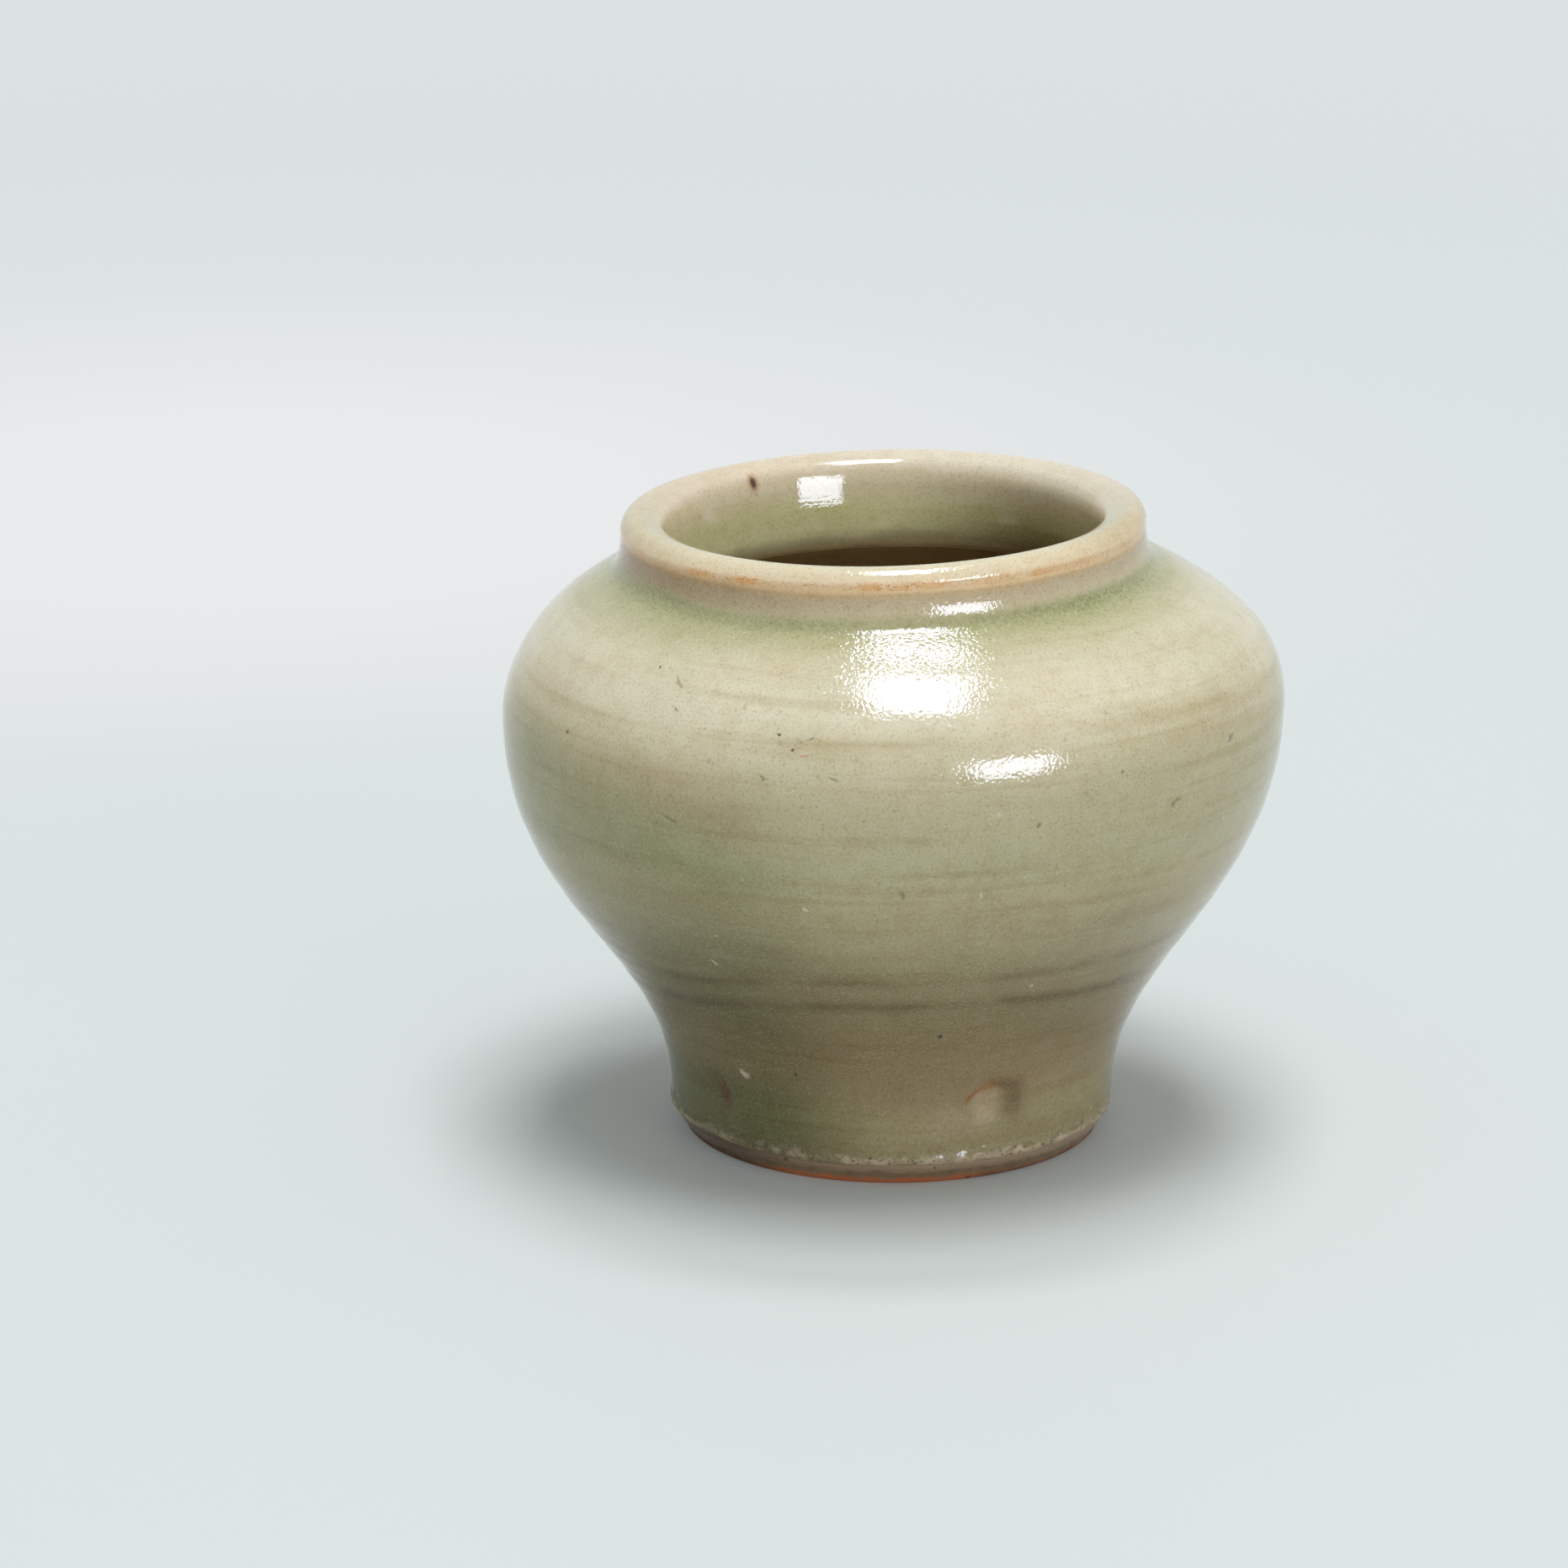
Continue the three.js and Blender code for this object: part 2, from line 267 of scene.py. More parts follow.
def warped(radius, height, turn):
    """A point at a turn: x = r sin, y = -r cos. Its z grows with x, and the neck moves."""
    x = radius * np.sin(turn)
    y = -radius * np.cos(turn)
    leaning = smooth((height - BEVEL_RISE) / LOWER_BODY_RISE, *LEAN_SPAN)
    shifting = smooth(height, NECK_BASE_HEIGHT - SHIFT_DEPTH, NECK_BASE_HEIGHT)
    return np.stack([x + NECK_SHIFT * shifting, y + 0 * x, height + LEAN * x * leaning], -1)


# %% [markdown]
# ## Relief
#
# What makes the jar look thrown by hand is small: faint rings from the fingers, three scored lines
# low on the body, a dimple and a few dents from handling while the clay was soft, and crumbs of
# grit along the glaze line. All of it is written as a height in millimetres over turn and arc, and
# it is part of the surface itself, so that it shows in the outline and in every light.

# %% Rings, lines and dents
FINGER_PITCH = 6.8
LINE_WIDTH = 0.85
LINE_DEPTHS = (0.07, 0.05, 0.03)

# Hills: height, turn in degrees, arc, width, length up the wall, tilt in degrees.
THROAT_LUMPS = [
    (0.15, -172, 101.3, 2.6, 0.7, 8), (0.09, -179, 100.0, 1.3, 0.6, 8),
    (0.12, 159, 101.2, 2.2, 0.6, 8), (0.08, -150, 101.4, 1.6, 0.6, 8),
    (0.08, 171, 102.0, 1.5, 0.5, 8),
]
DIMPLE = [(-0.80, 24.2, 7.9, 2.6, 2.4), (0.16, 20.3, 10.2, 1.1, 0.6, 35),
          (0.10, 19.2, 8.2, 0.6, 1.5)]
DENTS = [(-0.40, -46.6, 6.6, 0.9, 2.6), (-0.18, -49.0, 9.0, 3.5, 5.0),
         (-0.32, 39.0, 17.1, 4.2, 3.0, 25)]


def from_front(turn):
    """The turn measured both ways from the front, from -pi to pi."""
    return (turn + math.pi) % (2 * math.pi) - math.pi


def hill(turn, arc, at_turn, at_arc, wide, tall, tilt=0.0):
    """A round hill: one hump across times one hump up, along the surface and turned by tilt."""
    across = clay_at(arc)[0] * from_front(turn - math.radians(at_turn))
    up = arc - at_arc
    c, s = math.cos(math.radians(tilt)), math.sin(math.radians(tilt))
    return hump(across * c + up * s, wide) * hump(up * c - across * s, tall)


def hills(turn, arc, table):
    """The hills of a table, each times its height, added up."""
    return sum(height * hill(turn, arc, *place) for height, *place in table)


def wander(turn, seed, lobes=(1, 2, 3, 5, 8)):
    """A smooth wave round the jar: a few sines with seeded phases, each weaker than the last."""
    phases = np.random.default_rng(seed).uniform(0, 2 * math.pi, len(lobes))
    waves = (np.sin(n * turn + phase) for n, phase in zip(lobes, phases))
    return sum(wave / (k + 1.5) for k, wave in enumerate(waves))


def ring_relief(turn, arc):
    """Throwing rings: two faint sines outside, and inside one groove that climbs in a spiral."""
    rounds = turn / (2 * math.pi)
    spiral = 2 * math.pi * (arc - 1.3 * rounds)
    rings = 0.024 * np.sin(spiral / 6.1 + 0.8 * wander(turn, 3))
    rings = rings + 0.010 * np.sin(spiral / 2.7 + 1.1 * wander(turn, 4))
    outside = (rings * (1 - 0.75 * smooth(arc, 42, 58)) - 0.04) * window(arc, 4, 10, 70, 78)
    groove = 2 * math.pi * (arc / FINGER_PITCH - rounds) + 0.5 * wander(turn, 14)
    return outside + 0.11 * np.sin(groove) * window(arc, 110, 122, 180, 190)


def line_arcs(turn):
    """The arcs of three scored lines, lowest first: they climb from the left, level behind."""
    front = from_front(turn)
    ahead = 1 - smooth(abs(front), 1.9, 3.1)
    rise = smooth(front, -0.95, -0.12) * ahead
    low, middle, high = (start + climb * rise + 0.12 * wander(turn, seed)
                         for start, climb, seed in ((22.6, 3.7, 5), (27.0, 4.0, 6), (34.4, 3.9, 7)))
    return low - 1.5 * smooth(front, 0.3, 0.9) * ahead, middle, high


def scored_lines(turn, arc):
    """Three shallow scored lines low on the body, each a narrow valley (minus a hump)."""
    lines = zip(LINE_DEPTHS, line_arcs(turn))
    return -sum(depth * hump(arc - line, LINE_WIDTH) for depth, line in lines)


def throat_relief(turn, arc):
    """The throat is hollowed, a parabola, above a swollen lower rim with a few low lumps behind."""
    down = np.clip(arc, 92.7, 99.3)
    hollow = -0.006 * (6.6**2 - (99.3 - down) ** 2)
    rim = (hollow + 0.60 * smooth(arc, 99.3, 102.4)) * (1 - smooth(arc, 102.5, 105))
    return rim + hills(turn, arc, THROAT_LUMPS)


def clay_relief(turn, arc):
    """Everything that is in the clay and shows through the glaze."""
    return (ring_relief(turn, arc) + scored_lines(turn, arc) + hills(turn, arc, DIMPLE + DENTS)
            + throat_relief(turn, arc))


# %% [markdown]
# ## The coat of glaze
#
# The glaze is half a millimetre thick on the body and thins to the lip, where the clay burns
# through. At the foot it stops on a wandering line above the bevel, with a rounded edge that
# swelled and caught crumbs of kiln grit. The edge is a quarter circle: the thickness rises as the
# square root of one minus a square.

# %% Thickness of the glaze
EDGE_ROUND = 0.7
THICKNESS_ARCS = [0, ARRIS_ARC - 8, ARRIS_ARC, MOUTH_ARC, MOUTH_ARC + 3]
THICKNESSES = [0.5, 0.5, 0.3, 0.3, 0.45]


def glaze_line(turn):
    """How far above the bevel's corner the glaze stops: a slow wave and a quick one, in mm."""
    return 0.32 + 0.16 * wander(turn, 11) + 0.09 * wander(turn, 12, (13, 19, 29, 41))


def glaze_thickness(turn, arc):
    """The body's or the lip's thickness, swollen above the foot, and ended in a quarter circle."""
    above = arc - glaze_line(turn)
    swelling = (0.09 + 0.06 * wander(turn, 13, (7, 11, 17, 23))) * hump(above - 0.8, 0.7)
    quarter = np.sqrt(1 - (1 - np.clip(above / EDGE_ROUND, 0, 1)) ** 2)
    return (np.interp(arc, THICKNESS_ARCS, THICKNESSES) + swelling) * quarter


# %% Crumbs of grit
GRIT_COUNT = 150
GRIT_TOP = 6
LARGE_CRUMBS = [(0.16, 18.4, 1.2, 0.6, 0.5), (0.22, -37.8, 11.1, 0.85, 0.45, -38)]
grit_seed = np.random.default_rng(21)
grit_turn = np.degrees(grit_seed.uniform(-math.pi, math.pi, GRIT_COUNT))
grit_arc = 0.75 + grit_seed.gamma(1.6, 0.42, GRIT_COUNT)
grit_size = grit_seed.uniform(0.22, 0.55, GRIT_COUNT)
grit_height = grit_seed.uniform(0.04, 0.17, GRIT_COUNT)


def grit_relief(turn, arc):
    """The crumbs at the glaze line, one small hill each, a larger one, and the white one above."""
    near_edge = arc < GRIT_TOP
    turns, arcs = np.broadcast_to(turn, arc.shape)[near_edge], arc[near_edge]
    crumbs = np.zeros_like(turns)
    for at_turn, at_arc, size, height in zip(grit_turn, grit_arc, grit_size, grit_height):
        crumbs = np.maximum(crumbs, height * hill(turns, arcs, at_turn, at_arc, size * 1.3, size))
    relief = np.zeros_like(arc)
    relief[near_edge] = crumbs
    return relief + hills(turn, arc, LARGE_CRUMBS)


# %% [markdown]
# ## From rings of points to a mesh
#
# Each piece is a stack of rings with the same number of points. Four neighbouring points make one
# face, and a piece that reaches the axis is closed there by a fan. The normals are worked out from
# the grid as well, and stored, so that the two coats shade as one surface where they meet.

# %% Weaving a grid
ANGLES = 448
turns = np.linspace(0, 2 * math.pi, ANGLES, endpoint=False)[None, :]


def grid_normals(rings):
    """Cross product of the steps round and along the rings, made unit length."""
    round_step = np.roll(rings, -1, 1) - np.roll(rings, 1, 1)
    along_step = np.gradient(rings, axis=0)
    return unit(np.cross(round_step, along_step))


def ring_faces(count, looped, split):
    """Corner numbers of the four-sided faces between neighbouring rings, anticlockwise outside."""
    lower = [ring for ring in range(count if looped else count - 1) if ring != split]
    first = np.array(lower)[:, None] * ANGLES
    second = (first + ANGLES) % (count * ANGLES)
    here = np.arange(ANGLES)[None, :]
    beyond = (here + 1) % ANGLES
    corners = np.stack([first + here, first + beyond, second + beyond, second + here], -1)
    return corners.reshape(-1, 4)


def fan_faces(ring, tip, turned):
    """Three-sided faces from a ring to a tip on the axis, turned if the ring follows the tip."""
    here = np.arange(ANGLES)
    beyond = (here + 1) % ANGLES
    first, second = (beyond, here) if turned else (here, beyond)
    return np.stack([ring * ANGLES + first, ring * ANGLES + second, np.full(ANGLES, tip)], -1)


def placed(name, data):
    """A new object in the scene, made from a mesh, a lamp or a camera."""
    thing = bpy.data.objects.new(name, data)
    bpy.context.collection.objects.link(thing)
    return thing


def woven(name, rings, normals, poles=(), looped=False, split=None, shades=()):
    """A smooth piece from rings in mm, their normals, tips on the axis and stored shades."""
    points = rings.reshape(-1, 3)
    directions = normals.reshape(-1, 3)
    faces = ring_faces(len(rings), looped, split).tolist()
    for ring, place, direction, turned in poles:
        faces += fan_faces(ring, len(points), turned).tolist()
        points = np.concatenate([points, [place]])
        directions = np.concatenate([directions, [direction]])
    mesh = bpy.data.meshes.new(name)
    mesh.from_pydata((points * MM).tolist(), [], faces)
    for shade, values in shades:
        layer = mesh.attributes.new(shade, "FLOAT", "POINT")
        spare = len(points) - values.size
        padded = np.concatenate([values.ravel(), np.full(spare, values[-1, 0])])
        layer.data.foreach_set("value", padded)
    mesh.polygons.foreach_set("use_smooth", np.ones(len(mesh.polygons), bool))
    mesh.normals_split_custom_set_from_vertices(directions.tolist())
    mesh.validate()
    piece = placed(name, mesh)
    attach(piece, "root")
    triangles = sum(len(face.vertices) - 2 for face in mesh.polygons)
    print(name, "points", len(mesh.vertices), "triangles", triangles)
    return piece


# %% [markdown]
# ## The open face of the glaze
#
# Rows are close where there is something to see, at the glaze line, the dents, the scored lines and
# the lip, and wide on the plain belly. The lowest rows follow the wandering glaze line.

# %% Rows of the glaze
LAST_ARC = FLOOR_ARC - 0.6


def rows(*runs, last):
    """Arcs from runs of (start, end, count), one after another, each shared end kept once."""
    spread = [np.linspace(start, end, count, endpoint=False) for start, end, count in runs]
    return np.concatenate(spread + [np.array([last])])


outside_rows = rows((0, 5, 34), (5, 14, 32), (14, 34, 40), (34, 72, 38), (72, ARRIS_ARC - 3, 22),
                    (ARRIS_ARC - 3, ARRIS_ARC, 16), last=ARRIS_ARC)
inside_rows = rows((ARRIS_ARC, MOUTH_ARC, 40), (MOUTH_ARC, MOUTH_ARC + 12, 34),
                   (MOUTH_ARC + 12, MOUTH_ARC + 40, 26), (MOUTH_ARC + 40, LAST_ARC, 51),
                   last=LAST_ARC)


def arcs_over(row_arcs):
    """The arc of each grid point: its row's, lifted near the foot to start on the glaze line."""
    lift = np.clip(1 - row_arcs / 6, 0, 1)[:, None] ** 2
    return row_arcs[:, None] + lift * glaze_line(turns)


def lip_wobble(turn, arc):
    """The crown of the lip is not quite level: a slow wave that dies away down both sides."""
    return (0.07 * wander(turn, 31, (2, 3, 5)) - 0.14) * hump(arc - ARRIS_ARC - 2.3, 3.2)


def face_of(arcs, lift):
    """Points over the clay: the clay's point plus its outward direction times the lift in mm."""
    radius, height, out, up = clay_at(arcs)
    return warped(radius + out * lift, height + up * lift, turns + 0 * arcs)


def wall_lift(arcs):
    """All the relief that the clay has, in mm."""
    return clay_relief(turns, arcs) + lip_wobble(turns, arcs)


def open_face(arcs):
    """The face of the glaze that is seen: relief, thickness and grit, added up."""
    coat = glaze_thickness(turns, arcs) + grit_relief(turns, arcs)
    return face_of(arcs, wall_lift(arcs) + coat)


outside_arcs = arcs_over(outside_rows)
inside_arcs = inside_rows[:, None] + 0 * turns
outside_face = open_face(outside_arcs)
inside_face = open_face(inside_arcs)
both_normals = grid_normals(np.concatenate([outside_face, inside_face[1:]]))
outside_normals = both_normals[:len(outside_rows)]
inside_normals = both_normals[len(outside_rows) - 1:]
print("open glaze: %d rows outside, %d inside" % (len(outside_rows), len(inside_rows)))


# %% The hidden face of the glaze
def clay_face(arcs):
    """The clay's own surface under the glaze, with its relief."""
    return face_of(arcs, wall_lift(arcs))


outside_under_arcs = arcs_over(rows((0.9, 72, 16), (72, ARRIS_ARC, 10), last=ARRIS_ARC))[::-1]
inside_under_rows = rows((ARRIS_ARC, MOUTH_ARC + 16, 22), (MOUTH_ARC + 16, LAST_ARC, 25),
                         last=LAST_ARC)
inside_under_arcs = inside_under_rows[::-1, None] + 0 * turns
outside_under = clay_face(outside_under_arcs)
inside_under = clay_face(inside_under_arcs)

# %% [markdown]
# ## Where the colours lie
#
# The glaze is one recipe that came out in many colours: cream where it lies thin on the shoulder,
# green where it ran thick, brown where iron came up from the clay. The broad patches follow the
# wall, so they are worked out over arc and front, the turn to the left or right of the front, and
# stored at the points of the mesh as shades from 0 to 1. The finish further down turns them into
# colour, and adds what is too fine for the mesh.


# %% Broad shades
# Streaks: strength, arc, fall in mm a degree right of 40, half width, and the window of degrees.
STREAKS = [
    (0.62, 63.6, 0.05, 0.75, (26, 44, 72, 88)), (0.40, 60.6, 0.05, 0.9, (30, 52, 80, 100)),
    (0.45, 64.0, 0.0, 0.7, (-24, -14, 0, 12)),
]
# Painted brown shadow, as hills: strength, turn in degrees, arc, width, length up the wall, tilt.
SHADOWS = [(0.62, 31.8, 8.0, 1.5, 2.7, 8), (0.62, 27.8, 10.9, 2.4, 1.1, -14),
           (1.0, -46.6, 6.8, 0.9, 1.9), (0.30, -47.8, 8.0, 2.2, 3.4)]
POOL_TURNS = [-180, -120, -80, -52, -40, -18, 5, 30, 48, 90, 140, 180]
POOL_LOW = [77.0, 76.0, 75.6, 75.8, 76.4, 77.6, 77.8, 77.4, 77.8, 77.0, 76.6, 77.0]
POOL_HIGH = [81.8, 81.8, 82.2, 82.6, 81.9, 81.9, 82.0, 81.9, 81.9, 81.8, 81.8, 81.8]
POOL_STRENGTH = [0.6, 0.65, 0.72, 0.8, 0.72, 0.70, 0.55, 0.75, 0.95, 0.8, 0.65, 0.6]


def darker_lower_left(front, arc):
    """The dark green lower left: a window over the turn, below a slanting edge."""
    edge = 44.7 - 15.3 * np.clip(front, -1.05, 0) + 1.0 * wander(front, 51)
    return window(-front, 0.03, 0.50, 2.0, 2.8) * (1 - smooth(arc, edge - 5, edge + 6))


def tan(front, arc):
    """Brown washes: along the edge of the green, on the right shoulder, in streaks, and behind."""
    degrees = np.degrees(front)
    edge = 49.5 - 0.22 * np.clip(degrees, -60, 0)
    brown = 0.55 * hump(arc - edge, 3.6) * window(-degrees, 8, 24, 62, 90)
    brown = brown + 0.38 * hill(front, arc, 60, 64.5, 15, 5.0, 4)
    for strength, at_arc, fall, wide, span in STREAKS:
        line = at_arc - fall * (degrees - 40)
        brown = brown + strength * hump(arc - line, wide) * window(degrees, *span)
    behind = 0.35 * smooth(abs(degrees), 100, 140) * hump(arc - 58 - 2 * wander(front, 55), 4)
    return np.clip(brown + behind, 0, 1)


def pool(front, arc):
    """Green glaze pooled round the base of the neck, between two edges, and on the floor inside."""
    low, high, full = (np.interp(np.degrees(front), POOL_TURNS, values)
                       for values in (POOL_LOW, POOL_HIGH, POOL_STRENGTH))
    rise = smooth(arc, low - 4, high - 0.9) ** 1.4
    return full * rise * (1 - smooth(arc, high - 0.6, high + 0.8)) + 0.7 * smooth(arc, 158, 188)


def neck(front, arc):
    """The left of the neck is browner than the right."""
    return window(-front, -0.1, 0.95, 1.8, 2.6) * window(arc, 81, 83, 85.2, 86.4)


def shaded_lip(front, arc):
    """The crown of the lip is duller at both sides than at the front and the back."""
    aside = abs(front)
    return window(aside, 0.6, 1.25, 2.0, 2.7) * window(arc, 85.6, 87, 90.6, 92)


def back_lip(front, arc):
    """The crown of the lip is warmer at the back than at the front."""
    return smooth(abs(front), 1.1, 2.1) * window(arc, 87.0, 88.5, 91.8, 93)


def peach(front, arc):
    """A peach blush on the crown at the left back and, fainter, at the right: two hills."""
    blush = [(1, -124, 90, 24, 2.2), (0.4, 75, 88.5, 16, 2.5)]
    return np.clip(hills(front, arc, blush), 0, 1)


def rim_burn(front, arc):
    """The arris burned most at the front left and front right: humps over the turn."""
    burnt = ((-34, 20), (2, 9), (27, 14), (-110, 30))
    humps = sum(hump(np.degrees(front) - at, wide) for at, wide in burnt)
    return np.clip(0.25 + 0.75 * humps, 0, 1) + 0 * arc


def left_throat(front, arc):
    """1 at the left back of the throat, falling to 0 at the right, where painted shade darkens it.
    """
    away = abs(from_front(front + math.radians(140)))
    return (1 - smooth(away, 0.65, 1.6)) * smooth(arc, 91, 93)


def foot_green_and_shade(front, arc):
    """The glaze just above the foot is greener at the left, and darker there as painted shade."""
    return window(-front, -0.15, 0.75, 2.0, 2.8) * (1 - smooth(arc, 7, 14))


def right_side(front, arc):
    """0 up to the front and 1 on the right."""
    return smooth(front, 0.1, 0.6) + 0 * arc


def burn(front, arc):
    """Orange brown where the glaze broke over the dimple's rim: part of a ring, wide at the top."""
    across = clay_at(arc)[0] * from_front(front - math.radians(24.3))
    up = arc - 7.6
    bearing = np.degrees(np.arctan2(up, across))
    width = 0.42 + 0.30 * (1 - smooth(bearing, 85, 140))
    return hump(np.hypot(across, up) - 2.8, width) * window(bearing, 58, 92, 140, 175)


def painted_brown_shadow(front, arc):
    """Painted soft brown shadow: over and to the right of the dimple, and in the left dent."""
    return np.clip(hills(front, arc, SHADOWS), 0, 1)


SHADES = (darker_lower_left, tan, pool, neck, shaded_lip, back_lip, peach, rim_burn, left_throat, foot_green_and_shade,
          right_side, burn, painted_brown_shadow)


def shades_of(arcs):
    """Everything that is stored at the points of the glaze: distances in mm, and shades."""
    measured = [("arc", arcs), ("above_line", arcs - glaze_line(turns))]
    measured += [("from_line_%d" % number, arcs - line)
                 for number, line in enumerate(line_arcs(turns), 1)]
    return measured + [(shade.__name__, shade(from_front(turns), arcs)) for shade in SHADES]


# %% Two coats of glaze
UP, DOWN = (0, 0, 1.0), (0, 0, -1.0)
GLAZE_LIFT = 0.45


def coat(name, face, normals, under, arcs, **closing):
    """A closed skin: the face that is seen, then the face on the clay, back to where it began."""
    return woven(name, np.concatenate([face, under]),
                 np.concatenate([normals, grid_normals(under)]), looped=True,
                 shades=shades_of(np.concatenate(arcs)), **closing)


coat_outside = coat("celadon_coat_outside", outside_face, outside_normals, outside_under,
                    (outside_arcs, outside_under_arcs))
coat_inside = coat(
    "celadon_coat_inside", inside_face, inside_normals, inside_under,
    (inside_arcs, inside_under_arcs), split=len(inside_face) - 1,
    poles=((len(inside_face) - 1, (0, 0, FLOOR_HEIGHT + GLAZE_LIFT), UP, False),
           (len(inside_face), (0, 0, FLOOR_HEIGHT), DOWN, True)))

# %% Part in the frame
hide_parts("outside_glaze")
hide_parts("inside_glaze")

# %% [markdown]
# ## The stoneware
#
# The clay shows only at the bevel, the foot ring and the recessed base. The turning tool left fine
# rings there. The rest of the wall is under glaze, and it is made too, coarser, so that the clay is
# one closed body.


# %% Base, foot ring and bevel
ON_BEVEL = 22
TOOL_LIFT = 0.05


def base_line():
    """From the axis over the recessed base and the foot ring to the corner above the bevel."""
    ring_inside = FOOT_CONTACT_RADIUS - FOOT_RING_WIDTH
    recess_edge = (ring_inside - RECESS_FILLET, FOOT_RECESS)
    round_start = (FOOT_CONTACT_RADIUS - 0.45, 0)
    round_end = along((FOOT_CONTACT_RADIUS, 0), 60, 0.45)
    return joined([
        bezier([(0.6, FOOT_RECESS), recess_edge], 40),
        bezier([recess_edge, (ring_inside - 0.1, FOOT_RECESS), (ring_inside, 0.25),
                (ring_inside + 0.3, 0)], 12),
        bezier([(ring_inside + 0.3, 0), round_start], 14),
        bezier([round_start, (FOOT_CONTACT_RADIUS, 0), round_end], 8),
        bezier([round_end, (FOOT_TOP_RADIUS, BEVEL_RISE)], 22),
    ])


def trimmed(line):
    """The base line turned about the axis, with the fine rings and chatter of the turning tool."""
    radius, height = line[:, :1], line[:, 1:]
    outward = unit(square_to(line))
    on_bevel = radius > ON_BEVEL
    rings = TOOL_LIFT * np.sin(radius * 2.4) * np.clip(radius - 1, 0, 4) / 4 * (height > 1)
    wear = wander(turns, 41, (3, 5, 9, 16)) * window(height, 0.3, 1.2, 1.8, 2.3)
    lift = rings + TOOL_LIFT * on_bevel * (wear - smooth(height, 0.2, 1))
    height = np.maximum(height + outward[:, 1:] * lift, 0)
    return warped(radius + outward[:, :1] * lift, height, turns + 0 * lift)


base_rings = trimmed(base_line())
wall_rows = rows((0.25, 3, 10), (3, 34, 40), (34, ARRIS_ARC, 30), (ARRIS_ARC, MOUTH_ARC + 12, 24),
                 (MOUTH_ARC + 12, LAST_ARC, 25), last=LAST_ARC)
body_rings = np.concatenate([base_rings, clay_face(wall_rows[:, None] + 0 * turns)])
stoneware = woven(
    "stoneware_jar", body_rings, grid_normals(body_rings),
    poles=((0, (0, 0, FOOT_RECESS), DOWN, True),
           (len(body_rings) - 1, (0, 0, FLOOR_HEIGHT), UP, False)))
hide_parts("stoneware_body")


# %% [markdown]
# ## Colours and nodes
#
# A finish is a recipe of small steps, and one recipe is open at a time. Each step adds one node to
# it and hands back the node's output, wrapped as a Share, so that a sum can be written as a sum:
# a * b adds the node that multiplies. Colours are written as they look on a screen, from 0 to 255,
# and turned into the linear values that the renderer works with. To paint lays a colour over
# another, and to tint multiplies it in, as a wash does.

# %% Helpers for finishes
def tone(red, green, blue):
    """Screen colour to linear light: c/12.92 up to c = 0.04045, else ((c+0.055)/1.055)^2.4."""
    channels = [value / 255 for value in (red, green, blue)]
    return [c / 12.92 if c <= 0.04045 else ((c + 0.055) / 1.055) ** 2.4 for c in channels] + [1.0]


def opened(block):
    """Open the recipe of a material or a world, which is where new nodes go; returns its nodes."""
    global recipe
    block.use_nodes = True
    recipe = block.node_tree
    return recipe.nodes


def fed(node, inputs):
    """Give inputs, by name or number, a number or a colour each, or link them to a Share."""
    for key, value in inputs.items():
        if isinstance(value, Share):
            recipe.links.new(value.socket, node.inputs[key])
        else:
            node.inputs[key].default_value = value


def added(kind, inputs=(), output=0, **settings):
    """A new node with its settings and inputs; hands back one of its outputs as a Share."""
    node = recipe.nodes.new("ShaderNode" + kind)
    for name, value in settings.items():
        setattr(node, name, value)
    fed(node, dict(inputs))
    return Share(node.outputs[output])


class Share:
    """The output of a node, with the sums and the colour steps that can follow it."""

    def __init__(self, socket):
        self.socket = socket

    def reckon(self, operation, *others):
        """One sum, such as MAXIMUM."""
        return added("Math", enumerate((self, *others)), operation=operation)

    __add__ = partialmethod(reckon, "ADD")
    __sub__ = partialmethod(reckon, "SUBTRACT")
    __mul__ = partialmethod(reckon, "MULTIPLY")
    __truediv__ = partialmethod(reckon, "DIVIDE")

    def step(self, low, high, bottom=0.0, top=1.0):
        """Bottom where the value is low, top where it is high, smooth between."""
        ends = {"From Min": low, "From Max": high, "To Min": bottom, "To Max": top}
        return added("MapRange", {"Value": self, **ends}, interpolation_type="SMOOTHSTEP")

    def painted(self, share, *shown):
        """This colour with another laid over it, by a share from 0 to 1."""
        return laid(share, self, tone(*shown))

    def tinted(self, share, *shown):
        """This colour times another, by a share from 0 to 1."""
        return laid(share, self, tone(*shown), "MULTIPLY")


def laid(share, under, over, mode="MIX"):
    """Two colours mixed by a share from 0, all under, to 1, all over."""
    return added("Mix", {0: share, 6: under, 7: over}, 2, data_type="RGBA", blend_type=mode)


def stored(name):
    """A shade that the points of the mesh carry."""
    return added("Attribute", output="Fac", attribute_name=name)


def on_object(squash=1, tilt=0, shift=(0, 0, 0)):
    """Object coordinates, squashed along z for streaks and tilted about y by some degrees."""
    place = added("TexCoord", output="Object")
    return added("Mapping", {"Vector": place, "Location": shift, "Scale": (1, 1, squash),
                             "Rotation": (0, math.radians(tilt), 0)})


def grain(size, detail=2.0, rough=0.5, place=None):
    """Cloudy noise with features about size mm across."""
    return added("TexNoise", {"Vector": place or on_object(), "Scale": 1 / (size * MM),
                              "Detail": detail, "Roughness": rough})


def ringed(size, squash, tilt, seed):
    """Noise drawn out level round the jar, as the fingers comb the glaze while the wheel turns."""
    return grain(size, place=on_object(squash, tilt, (seed * 0.1, 0, 0)))


def distance(place, point=(0, 0, 0)):
    """How far a place is from a point."""
    return added("VectorMath", {0: place, 1: point}, "Value", operation="DISTANCE")


def specks(spacing, size, chance, shift=(0, 0, 0)):
    """Scattered round specks: cells so many mm apart, a chance share of them with a speck."""
    cells = {"Vector": on_object(shift=shift), "Scale": 1 / (spacing * MM)}
    near = added("TexVoronoi", cells, "Distance")
    random = {0: Share(near.socket.node.outputs["Color"])}
    first, second = (added("SeparateColor", random, number) for number in (0, 1))
    kept = first.step(chance - 0.01, chance + 0.01, 1.0, 0.0)
    return kept * near.reckon("LESS_THAN", second * (size / spacing))


